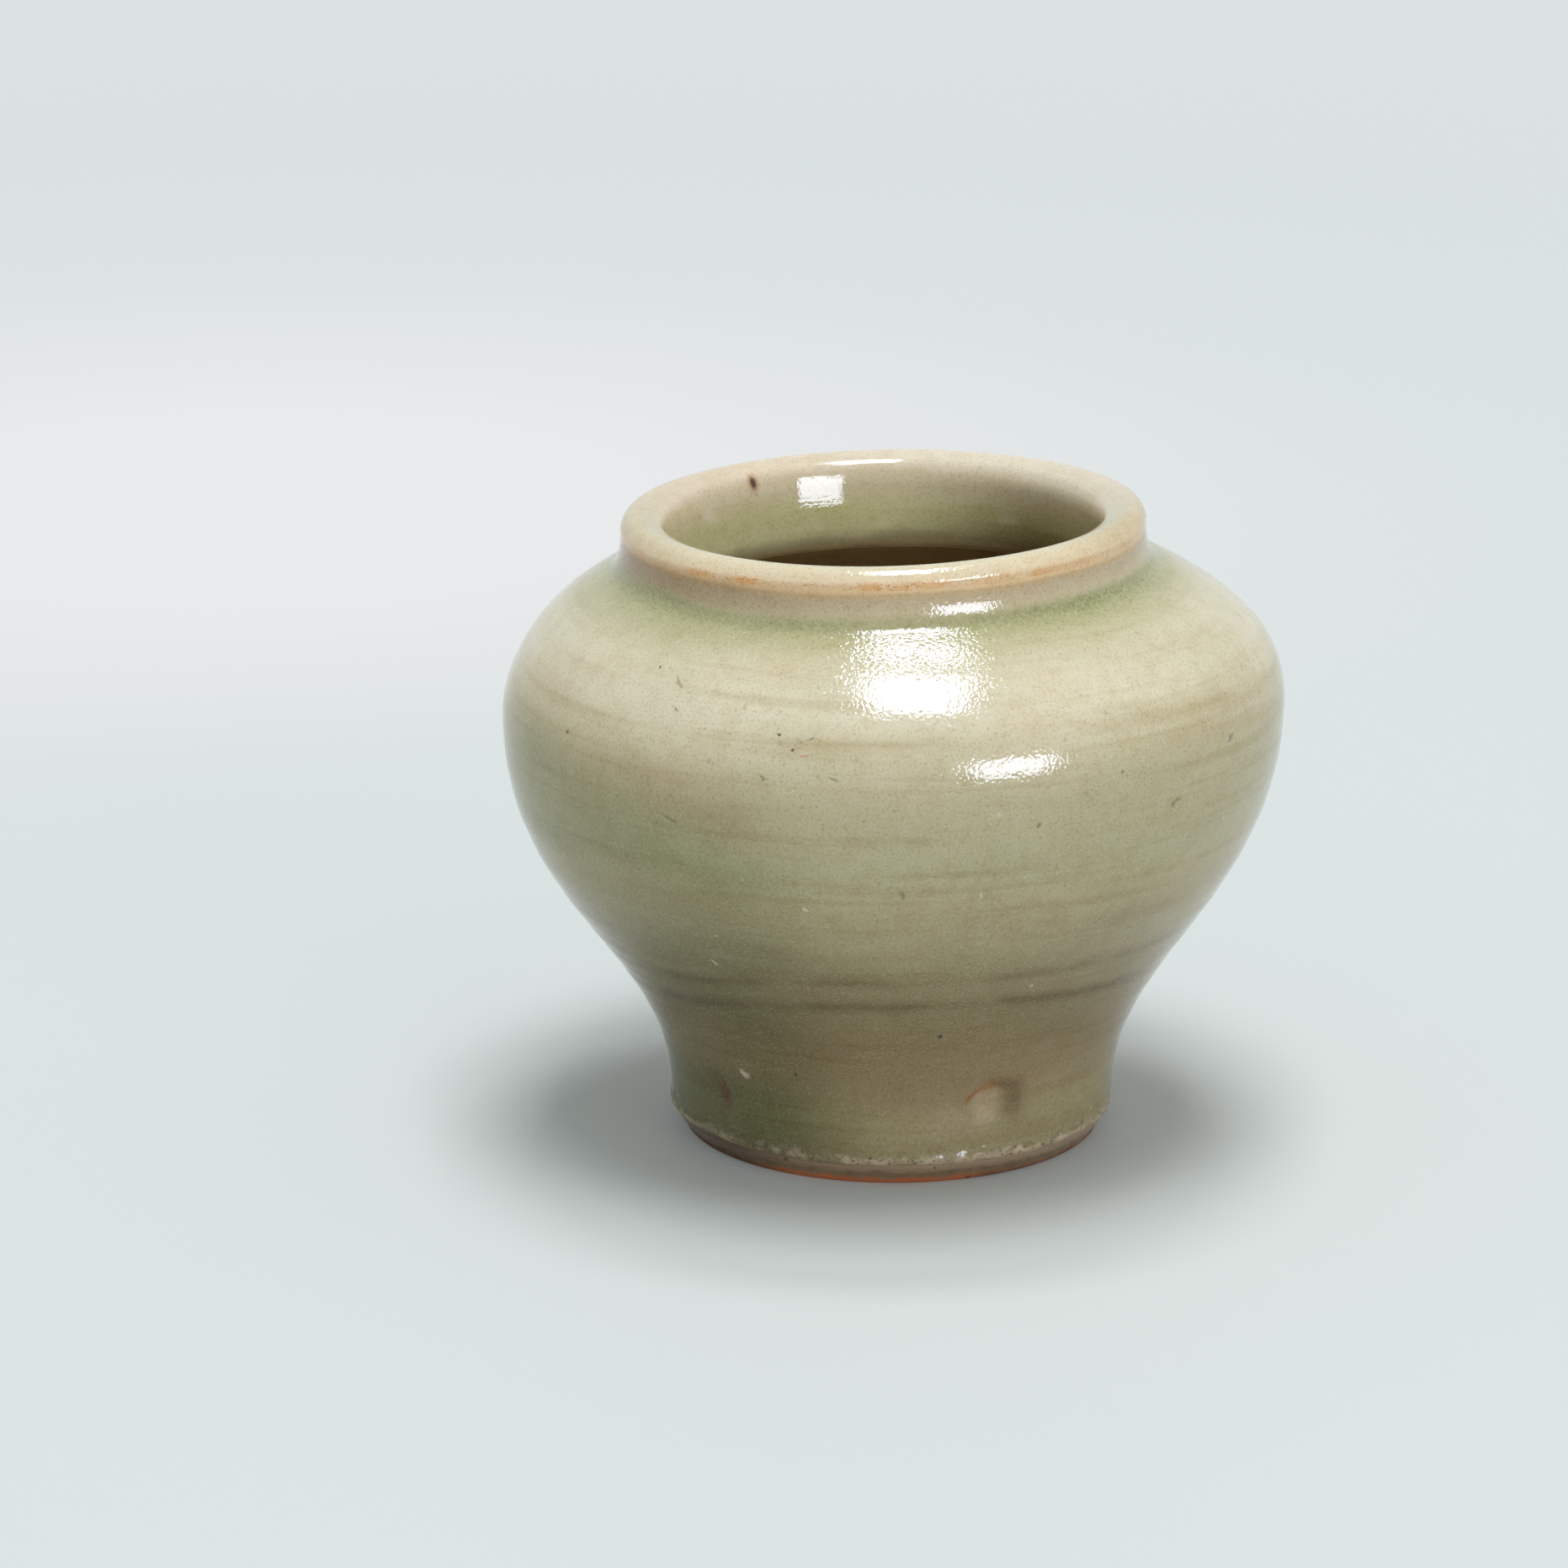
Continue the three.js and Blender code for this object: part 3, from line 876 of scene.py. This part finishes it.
def ramp(value, stops):
    """A colour read from stops (arc in mm, red, green, blue), straight between them."""
    low, high = stops[0][0], stops[-1][0]
    colour = added("ValToRGB", {0: (value - low) / (high - low)})
    elements = colour.socket.node.color_ramp.elements
    for at, *shown in stops[1:-1]:
        elements.new((at - low) / (high - low)).color = tone(*shown)
    elements[0].color, elements[-1].color = tone(*stops[0][1:]), tone(*stops[-1][1:])
    return colour


MARK_DEPTH = 1.5


def mark(place, turn, arc, length, width, tilt=0.0):
    """1 on a small mark, 0 off it: the place is turned and scaled until the mark is a unit ball."""
    angle = math.radians(turn)
    radius, height, out, up = clay_at(arc + np.array([-0.5, 0, 0.5]))
    low, centre, high = warped(radius + GLAZE_LIFT * out, height + GLAZE_LIFT * up, np.array(angle))
    up = Vector(high - low).normalized()
    out = Vector((math.cos(angle), math.sin(angle), 0)).cross(up).normalized()
    across = up.cross(out).normalized()
    c, s = math.cos(math.radians(tilt)), math.sin(math.radians(tilt))
    axes = Matrix((across * c + up * s, up * c - across * s, out)).transposed()
    ball = added("Mapping", {
        "Vector": place, "Location": Vector(centre) * MM, "Rotation": axes.to_euler(),
        "Scale": Vector((length / 2, width / 2, MARK_DEPTH)) * MM}, vector_type="TEXTURE")
    return distance(ball).step(0.35, 1.2, 1.0, 0.0)


def strongest(shares):
    """The largest of several shares."""
    best = shares[0]
    for share in shares[1:]:
        best = best.reckon("MAXIMUM", share)
    return best


def dented(height):
    """The normal of a surface that is lifted by a height in mm."""
    return added("Bump", {"Strength": 1.0, "Distance": MM, "Height": height})


def new_finish(name):
    """A material whose recipe is now open, and its Principled shader."""
    material = bpy.data.materials.new(name)
    return material, opened(material)["Principled BSDF"]


# %% [markdown]
# ## The glaze
#
# The first colour comes from how high a point lies on the wall. Everything else is laid over it in
# thin washes: the green of pooled glaze, a darker green on the lower left, the brown of iron,
# streaks that the throwing rings comb through it, and specks, with painted shade and painted light
# at the arris, the throat, the dimple, the dents and the foot. The gloss comes from a low roughness,
# and from a faint orange peel that breaks up the edges of the highlights as on the real surface.

# %% Colours up the wall
# Stops of arc, red, green and blue: mostly the glaze's own colour, worked out from the photograph at
# places up the front with the light divided out, and then corrected from one render to the next.
# The stops at 85.4 and 86.3, just below the arris, and from 100 to 104.2, on the throat's lower
# rim, are lighter than the glaze: painted light, for light that those faces get less of here.
UP_THE_WALL = [
    (6, 187, 169, 127), (10, 172, 151, 113), (14.5, 157, 137, 100), (19, 150, 131, 95),
    (24, 148, 133, 96), (29, 157, 142, 107), (34, 161, 148, 112), (38, 176, 163, 127),
    (43.6, 189, 176, 137), (48.4, 195, 187, 149), (57, 208, 196, 159), (61, 220, 208, 175),
    (67, 230, 221, 195), (73, 220, 212, 183), (76.5, 209, 201, 168), (80, 206, 196, 158),
    (82.5, 214, 199, 165), (84.4, 213, 190, 158), (84.95, 222, 188, 142), (85.4, 252, 218, 170),
    (86.3, 254, 230, 194), (87.4, 235, 219, 187), (88.4, 228, 217, 187), (89.8, 220, 217, 190),
    (91.2, 218, 215, 186), (92.2, 252, 238, 206), (94.5, 232, 216, 176), (97, 230, 223, 168),
    (100, 238, 232, 180), (102.2, 254, 235, 196), (104.2, 246, 222, 176), (107, 202, 178, 138),
]

# %% Small marks
# Each mark: turn in degrees, arc, length, width, tilt in degrees.
SCRATCHES = [
    (-35.7, 70.2, 2.6, 0.55, -40), (-34.6, 66.6, 1.5, 0.5, -30), (-33.2, 53.9, 2.8, 0.5, -16),
    (-18.5, 59.9, 1.1, 0.5, -20), (-8.3, 60.1, 1.9, 0.35, -16), (57.2, 58.3, 1.7, 0.8, 20),
    (44.5, 53.0, 2.2, 0.55, 30), (34.2, 58.3, 0.8, 0.4, 60), (1.5, 45.6, 1.5, 0.55, -70),
    (-29.8, 33.4, 1.3, 0.4, -45), (21, 53.5, 0.6, 0.5), (37, 23, 2.4, 0.4, 14),
    (39, 22, 1.2, 0.5, -20), (-54, 80.0, 1.2, 0.4, 10), (-12, 64.6, 0.9, 0.4),
    (42, 36, 1.0, 0.4, 20),
]
DARK_SPOTS = [(10.0, 20.3, 0.95, 0.85), (-23, 12.5, 0.6, 0.6), (-55, 61.0, 0.7, 0.6),
              (-17, 64.9, 0.6, 0.45), (-14.5, 63.2, 0.5, 0.4), (-41, 71.8, 0.5, 0.4)]
PALE_SPOTS = [(-41, 76.0, 0.9, 0.35, -10), (-20, 67.0, 0.6, 0.55), (-13, 43.5, 0.7, 0.6),
              (13, 45.0, 0.5, 1.4), (26, 28.5, 0.6, 0.8), (-31.4, 32.8, 1.4, 0.5, -48),
              (-52, 62.8, 0.7, 0.4, 30), (-35.4, 65.6, 1.3, 0.7, -20)]
ORANGE_SPOTS = [(-12.7, 62.6, 1.2, 0.45, 10), (31, 64.2, 0.6, 0.4)]
WHITE_CRUMB = [(-37.8, 11.1, 1.9, 0.95, -38)]
IRON_HALO = (-142.4, 92.6, 2.0, 3.3)
IRON_SPECK = (-142.4, 92.6, 1.1, 1.9, 8)
# A painted pool of light on the dimple's floor, which faces up.
DIMPLE_PAINTED_LIGHT = (24.2, 7.9, 4.9, 6.2)
BESIDE_DIMPLE = (14.5, 6.0, 7.0, 6.0)
PEPPER = (2.2, 0.34, 0.30)
MARK_GROUPS = ((SCRATCHES, 0.52, (100, 96, 62)), (DARK_SPOTS, 0.85, (70, 56, 38)),
               (PALE_SPOTS, 0.55, (228, 222, 204)), (ORANGE_SPOTS, 0.6, (206, 140, 96)),
               (WHITE_CRUMB, 0.92, (216, 196, 176)))


# %% Colours of the glaze
def wobbled_arc():
    """The arc, moved up and down by drawn-out noise, so that no edge of colour is straight."""
    slow = (ringed(16, 2.2, 2, 1) - 0.5) * 5.0
    quick = (grain(1.1, 3) - 0.5) * 0.9
    arc = stored("arc")
    return arc + arc.step(76, 84, 1.0, 0.12) * (slow + quick)


def body_colour():
    """The colour up the wall under a darker green lower left, brown iron and combed streaks."""
    on_body = stored("arc").step(76, 83, 1.0, 0.0)
    green = stored("darker_lower_left") * ringed(12, 3, 3, 2).step(0.25, 0.7, 0.82, 1.0)
    iron = stored("tan") * ringed(24, 9, 4, 3).step(0.3, 0.62, 0.45, 0.95)
    cloud = grain(15, 3, place=on_object(1.8))
    colour = ramp(wobbled_arc(), UP_THE_WALL).tinted(green, 207, 211, 193)
    colour = colour.tinted(cloud.step(0.42, 0.68, 0.0, 0.28) * on_body, 232, 240, 222)
    colour = colour.tinted(cloud.step(0.28, 0.46, 0.35, 0.0) * on_body, 250, 240, 228)
    colour = colour.tinted(iron, 214, 198, 168)
    for size, squash, seed, most in ((55, 13, 4, 0.24), (36, 27, 5, 0.34)):
        combed = ringed(size, squash, 2, seed).step(0.50, 0.72, 0.0, most)
        colour = colour.tinted(combed * on_body, 224, 212, 188)
    return colour


def line_share(number, keep):
    """1 on a scored line, fading over a mm on both sides, and coming and going along its length."""
    away = stored("from_line_%d" % number).reckon("ABSOLUTE")
    core = away.step(0.1, 0.9, 0.30, 0.0)
    skirt = away.step(0.3, 2.2, 0.50, 0.0)
    along_line = ringed(9, 1.5, 0, 7).step(0.30, 0.62, 0.25, 1.0)
    return (core + skirt) * (along_line * keep)


def with_lines(colour):
    """Iron in the scored lines, the third on the right only; the left foot greener, in painted
    shade.
    """
    lines = [line_share(1, 1.0), line_share(2, 0.85),
             line_share(3, 0.4) * stored("right_side")]
    colour = colour.tinted(strongest(lines), 198, 184, 162)
    # Painted shade, with a green tint, on the left of the foot.
    return colour.tinted(stored("foot_green_and_shade"), 201, 212, 200)


def with_pool(colour):
    """Green glass pooled below the neck, grainy where its bubbles and the clay show through."""
    grains = grain(0.5, 3, 0.7).step(0.38, 0.64)
    pooled = stored("pool")
    colour = colour.tinted(stored("neck"), 217, 208, 195)
    colour = colour.painted(pooled * 0.82, 156, 162, 108)
    return colour.painted(pooled * pooled * grains * 0.55, 106, 114, 62)


def with_lip(colour):
    """Duller sides, a warm back, painted shade on the throat's right, and burnt orange on the arris.
    """
    arc = stored("arc")
    colour = colour.tinted(stored("shaded_lip"), 236, 236, 230)
    colour = colour.tinted(stored("peach"), 239, 213, 178)
    colour = colour.painted(stored("back_lip") * 0.6, 240, 225, 208)
    # Painted shade: the right of the throat is darkened, more deeply further down.
    inside = arc.step(92, 100, 0.60, 1.0) * arc.step(92.2, 94.2)
    browner = inside * ((stored("left_throat") - 1.0) * -1.0)
    colour = colour.tinted(browner, 152, 140, 120)
    band = arc.step(85.4, 85.75) * arc.step(86.1, 86.7, 1.0, 0.0) * stored("rim_burn")
    wash = band * grain(4, 3).step(0.42, 0.58, 0.12, 0.80)
    dots = band * grain(0.65, 3, 0.7, on_object(2)).step(0.50, 0.66)
    dots = dots * grain(9, 2).step(0.42, 0.60, 0.2, 1.0)
    return colour.painted(wash, 246, 182, 108).painted(dots * 0.9, 234, 138, 62)


def with_foot(colour):
    """A cream ridge along the glaze's edge, patchy and crumbly, with dark grains just above it."""
    reach = stored("above_line") + (grain(2.0, 3, 0.55) - 0.5) * 2.6
    grains = reach.step(0.9, 2.6, 1.0, 0.0) * grain(0.9, 3, 0.65).step(0.48, 0.66)
    cream = reach.step(0.75, 1.35, 1.0, 0.0) * grain(3.4, 4, 0.65).step(0.40, 0.58, 0.20, 1.0)
    # Painted shade: the cream ridge is halved on the left of the foot.
    cream = cream * stored("foot_green_and_shade").step(0, 1, 1.0, 0.5)
    pits = grain(0.55, 3, 0.6).step(0.54, 0.66) * reach.step(1.2, 1.7, 1.0, 0.0)
    colour = colour.painted(grains * 0.28, 96, 74, 48).painted(cream, 230, 204, 176)
    return colour.painted(pits * 0.7, 86, 62, 42)


def with_burns(colour, wavy):
    """Orange crescent and painted light at the dimple, painted brown shadow there and at the left
    dent.
    """
    # Painted shadow over and right of the dimple, and in the left dent.
    colour = colour.painted(stored("painted_brown_shadow") * 0.95, 108, 80, 48)
    colour = colour.painted(stored("burn"), 166, 100, 28)
    # Painted light: a pale patch on the floor of the dimple.
    colour = colour.painted(mark(wavy, *DIMPLE_PAINTED_LIGHT) * 0.55, 224, 198, 166)
    return colour.painted(mark(wavy, *BESIDE_DIMPLE) * 0.16, 214, 196, 170)


def with_marks(colour, wavy):
    """Scratches, spots and crumbs, each at its place, and the finest specks scattered by chance."""
    for places, share, shown in MARK_GROUPS:
        found = strongest([mark(wavy, *place) for place in places])
        colour = colour.painted(found * share, *shown)
    colour = colour.painted(specks(*PEPPER) * 0.22, 128, 98, 56)
    colour = colour.painted(specks(3.0, 0.30, 0.20, (0.3, 0.1, 0.2)) * 0.3, 232, 228, 210)
    colour = colour.painted(mark(on_object(), *IRON_HALO) * 0.6, 206, 134, 78)
    return colour.painted(mark(on_object(), *IRON_SPECK) * 0.95, 92, 48, 38)


def with_grain(colour):
    """The mottle of the whole surface: soft blotches, and grains of two tones of one noise."""
    grains = grain(0.32, 3, 0.7)
    colour = colour.tinted(grain(2.6, 4, 0.6).step(0.42, 0.66, 0.0, 0.35), 238, 230, 212)
    colour = colour.tinted(grains.step(0.50, 0.74, 0.0, 0.55), 190, 178, 150)
    return colour.painted(grains.step(0.26, 0.48, 0.20, 0.0), 236, 232, 208)


# %% Glaze
WAVER = 0.0009


def wavering():
    """Object coordinates moved by up to half of WAVER, so that marks aren't clean ovals."""
    noise = added("TexNoise", {"Vector": on_object(), "Scale": 1 / (0.9 * MM)}, "Color")
    moved = added("VectorMath", {0: noise, 1: [WAVER] * 3, 2: [-WAVER / 2] * 3},
                  operation="MULTIPLY_ADD")
    return added("VectorMath", {0: on_object(), 1: moved})


def glaze_finish(name):
    """Glossy glass: the washes above as its colour, and peel, combing and pits as its bumps."""
    material, shader = new_finish(name)
    wavy = wavering()
    colour = with_lip(with_pool(with_lines(body_colour())))
    colour = with_marks(with_burns(with_foot(colour), wavy), wavy)

    arc = stored("arc")
    rough = grain(2.2, 3).step(0.35, 0.7, 0.056, 0.086)
    rough = rough + stored("above_line").step(0.8, 2.2, 0.22, 0.0)
    peel = grain(0.48, 1) * (arc.step(89, 92, 1.0, 0.25) * 0.042)
    height = (peel + grain(0.30, 1) * 0.006
              + (ringed(26, 22, 1, 6) * 0.030 + specks(*PEPPER) * -0.02))
    fed(shader, {"Base Color": with_grain(colour), "IOR": 1.5, "Normal": dented(height),
                 "Roughness": arc.step(89, 92, 1.0, 0.5) * rough})
    return material


coat_outside.data.materials.append(glaze_finish("celadon_outside"))
coat_inside.data.materials.append(glaze_finish("celadon_inside"))


# %% [markdown]
# ## The bare clay
#
# Under the foot the stoneware fired to a burnt orange brown. The bevel is greyer and carries a thin
# smear of glaze, and the corner that stands on the ground is the brightest orange.

# %% Clay
def clay_finish():
    """Matt clay: a base, a brown film above, orange low at the front, cream at the glaze, painted
    shade.
    """
    material, shader = new_finish("bare_stoneware")
    x, y, z = (added("SeparateXYZ", {0: on_object()}, number) for number in range(3))
    height = z / MM
    climbing = height + (grain(2.4, 4, 0.65) - 0.5) * 1.6
    base = laid(grain(6, 4), tone(176, 112, 74), tone(196, 136, 96))
    film = laid(grain(1.5, 4, 0.65), tone(104, 80, 54), tone(188, 158, 124))
    brown = laid(climbing.step(0.35, 1.05), base, film)
    # Painted shade: the bevel darkens towards the ground.
    shaded = brown.painted(climbing.step(0.1, 0.9, 0.8, 0.0), 112, 78, 58)
    ahead = x.step(-0.018, -0.011) * x.step(0.013, 0.007) * y.step(-0.004, -0.012)
    orange = ahead * climbing.step(0.4, 1.15, 0.92, 0.0)
    cream = climbing.step(1.45, 1.95) * x.step(-0.020, 0.004, 0.30, 0.80)
    colour = laid(height.step(-0.2, 0.02), base, shaded).painted(orange, 216, 122, 70)
    colour = colour.painted(cream, 188, 160, 132)
    # Painted shadow on the left of the bevel.
    colour = colour.tinted(x.step(-0.020, -0.010, 0.85, 0.0), 166, 158, 150)
    colour = colour.painted(specks(1.3, 0.5, 0.4) * 0.6, 64, 46, 34)
    bumps = ringed(1.2, 1, 0, 8) * 0.06 + grain(0.35, 2) * 0.05
    fed(shader, {"Base Color": colour, "Roughness": climbing.step(0.5, 1.3, 0.72, 0.28),
                 "IOR": 1.45, "Normal": dented(bumps)})
    return material


stoneware.data.materials.append(clay_finish())

# %% [markdown]
# ## Floor and light
#
# The jar stands on a plain pale sheet. Large soft boxes hang over it, which light the shoulder and
# leave the drawn-in foot in half shadow, and a smaller one stands low at the front right and gives
# the second highlight on the belly. Each lamp comes as a pair, so that the light it gives and the
# highlight it leaves can be set apart. Near the jar the floor is a surface that holds the shadow,
# lightened a little by painted light. Far from it the floor goes over into the same pale tone as
# the backdrop, with a brighter painted patch of light behind the jar to the left.

# %% Floor
PALE = tone(220, 226, 226)
FLOOR_HALF = 6.0
GLOW_CENTRE = (-0.11, 0.32, 0)


def floor_sheet():
    """One square face at height 0."""
    corners = [(x * FLOOR_HALF, y * FLOOR_HALF, 0) for x, y in ((-1, -1), (1, -1), (1, 1), (-1, 1))]
    mesh = bpy.data.meshes.new("floor")
    mesh.from_pydata(corners, [], [(0, 1, 2, 3)])
    sheet = placed("floor", mesh)
    return sheet


def seen_directly():
    """1 for rays from the camera or from a reflection, 0 for the light that falls on the object."""
    return strongest([added("LightPath", output="Is %s Ray" % kind)
                      for kind in ("Camera", "Glossy", "Transmission")])


def floor_finish():
    """A matt pale sheet, glowing softly far from the jar as the backdrop does; near it, painted
    light.
    """
    material, shader = new_finish("pale_floor")
    fed(shader, {"Base Color": tone(216, 222, 222), "Roughness": 0.6, "Specular IOR Level": 0.2})
    place = added("TexCoord", output="Object")
    away = distance(place)
    # Painted light: a brighter patch of glow round GLOW_CENTRE.
    bright = distance(place, GLOW_CENTRE).step(0.02, 0.34, 1.0, 0.0)
    glow = added("Emission", {"Color": laid(bright, PALE, tone(234, 235, 237))})
    # Painted light: near the jar the floor still glows by a share of 0.08, which lightens the
    # shadow.
    far = strongest([away.step(0.18, 0.9, 0.08, 1.0), bright * away.step(0.10, 0.26)])
    both = added("MixShader", {0: far * seen_directly(), 1: Share(shader.outputs[0]), 2: glow})
    fed(recipe.nodes["Material Output"], {"Surface": both})
    return material


floor = floor_sheet()
floor.data.materials.append(floor_finish())

# %% Lights
WHITE, COOL = (1, 1, 1), (0.90, 0.96, 1.14)
OVERHEAD = (("front_light", 0.16, -0.40, 2.85, (1.10, 1.30), 9.9),
            ("front_glint", 0.17, -0.37, 2.80, (0.93, 1.24), 16.5),
            ("back_light", 0.12, 0.76, 2.85, (0.80, 0.42), 16),
            ("back_glint", 0.14, 0.715, 2.80, (0.69, 0.34), 23))
FROM_THE_SIDE = (("side_glint", 34.3, (0.84, 0.55), 14.5), ("side_light", 35, (1.04, 0.5), 2))
SIDE_RISE = math.radians(15.5)
SIDE_DISTANCE = 2.0
SIDE_AIM = (0, 0, 0.06)


def soft_box(name, centre, aim, size, radiance):
    """A rectangular lamp of power radiance x pi x area. A glint shows only in reflections."""
    glint = name.endswith("glint")
    lamp = bpy.data.lights.new(name, "AREA")
    lamp.shape = "RECTANGLE"
    lamp.size, lamp.size_y = size
    lamp.energy = radiance * math.pi * size[0] * size[1]
    lamp.color = COOL if glint else WHITE
    box = placed(name, lamp)
    box.location = centre
    box.rotation_mode = "QUATERNION"
    box.rotation_quaternion = (Vector(aim) - Vector(centre)).to_track_quat("-Z", "Y")
    box.visible_camera = False
    box.visible_glossy = glint
    box.visible_diffuse = not glint


for name, x, y, height, size, radiance in OVERHEAD:
    soft_box(name, (x, y, height), (x, y, 0), size, radiance)
for name, degrees, size, radiance in FROM_THE_SIDE:
    turn, reach = math.radians(degrees), SIDE_DISTANCE * math.cos(SIDE_RISE)
    centre = Vector((reach * math.sin(turn), -reach * math.cos(turn), 0))
    centre.z = SIDE_AIM[2] + SIDE_DISTANCE * math.sin(SIDE_RISE)
    soft_box(name, centre, SIDE_AIM, size, radiance)
print("lamps:", sorted(lamp.name for lamp in bpy.data.lights))


# %% World
WORLD_LIGHT = 0.47


def pale_world():
    """An even pale room: full strength where it is seen, less as light on the object."""
    world = bpy.data.worlds.new("pale_room")
    bpy.context.scene.world = world
    background = opened(world)["Background"]
    fed(background, {"Color": PALE, "Strength": seen_directly().step(0, 1, WORLD_LIGHT, 1.0)})


pale_world()
bpy.context.scene.view_settings.view_transform = "Standard"

# %% [markdown]
# ## Camera
#
# The camera stands where the photograph was taken from: 850 mm away, 16.4 degrees above the level.
# It is turned a little to the left and up from the jar, as a photographer frames an object low and
# right of the middle. No lens shift is needed.

# %% Camera
CAMERA_RISE = math.radians(16.39)
CAMERA_DISTANCE = 0.85
LENS_PIXELS = 8183
PICTURE_PIXELS = 1863
SENSOR_WIDTH = 36
OFF_CENTRE = (134.3, 46.85)
AIM = Vector((0, 0, 0.038))


def look():
    """Turn the view left by atan(x/f) about the upright, then up by atan(y/f) about its right."""
    back = Vector((0, -math.cos(CAMERA_RISE), math.sin(CAMERA_RISE)))
    camera = placed("camera", bpy.data.cameras.new("camera"))
    camera.data.sensor_width = SENSOR_WIDTH
    camera.data.lens = SENSOR_WIDTH * LENS_PIXELS / PICTURE_PIXELS
    camera.data.clip_start, camera.data.clip_end = 0.01, 50
    left = Matrix.Rotation(math.atan2(OFF_CENTRE[0], LENS_PIXELS), 3, "Z")
    right = left @ Vector((1, 0, 0))
    upward = Matrix.Rotation(math.atan2(OFF_CENTRE[1], LENS_PIXELS), 3, right)
    toward = upward @ (left @ -back)
    over = right.cross(toward)
    turn = Matrix((right, over, -toward)).transposed()
    camera.matrix_world = Matrix.Translation(AIM + back * CAMERA_DISTANCE) @ turn.to_4x4()
    bpy.context.scene.camera = camera
    return camera


camera = look()
print("lens %.1f mm, camera at" % camera.data.lens, [round(value, 3) for value in camera.location])
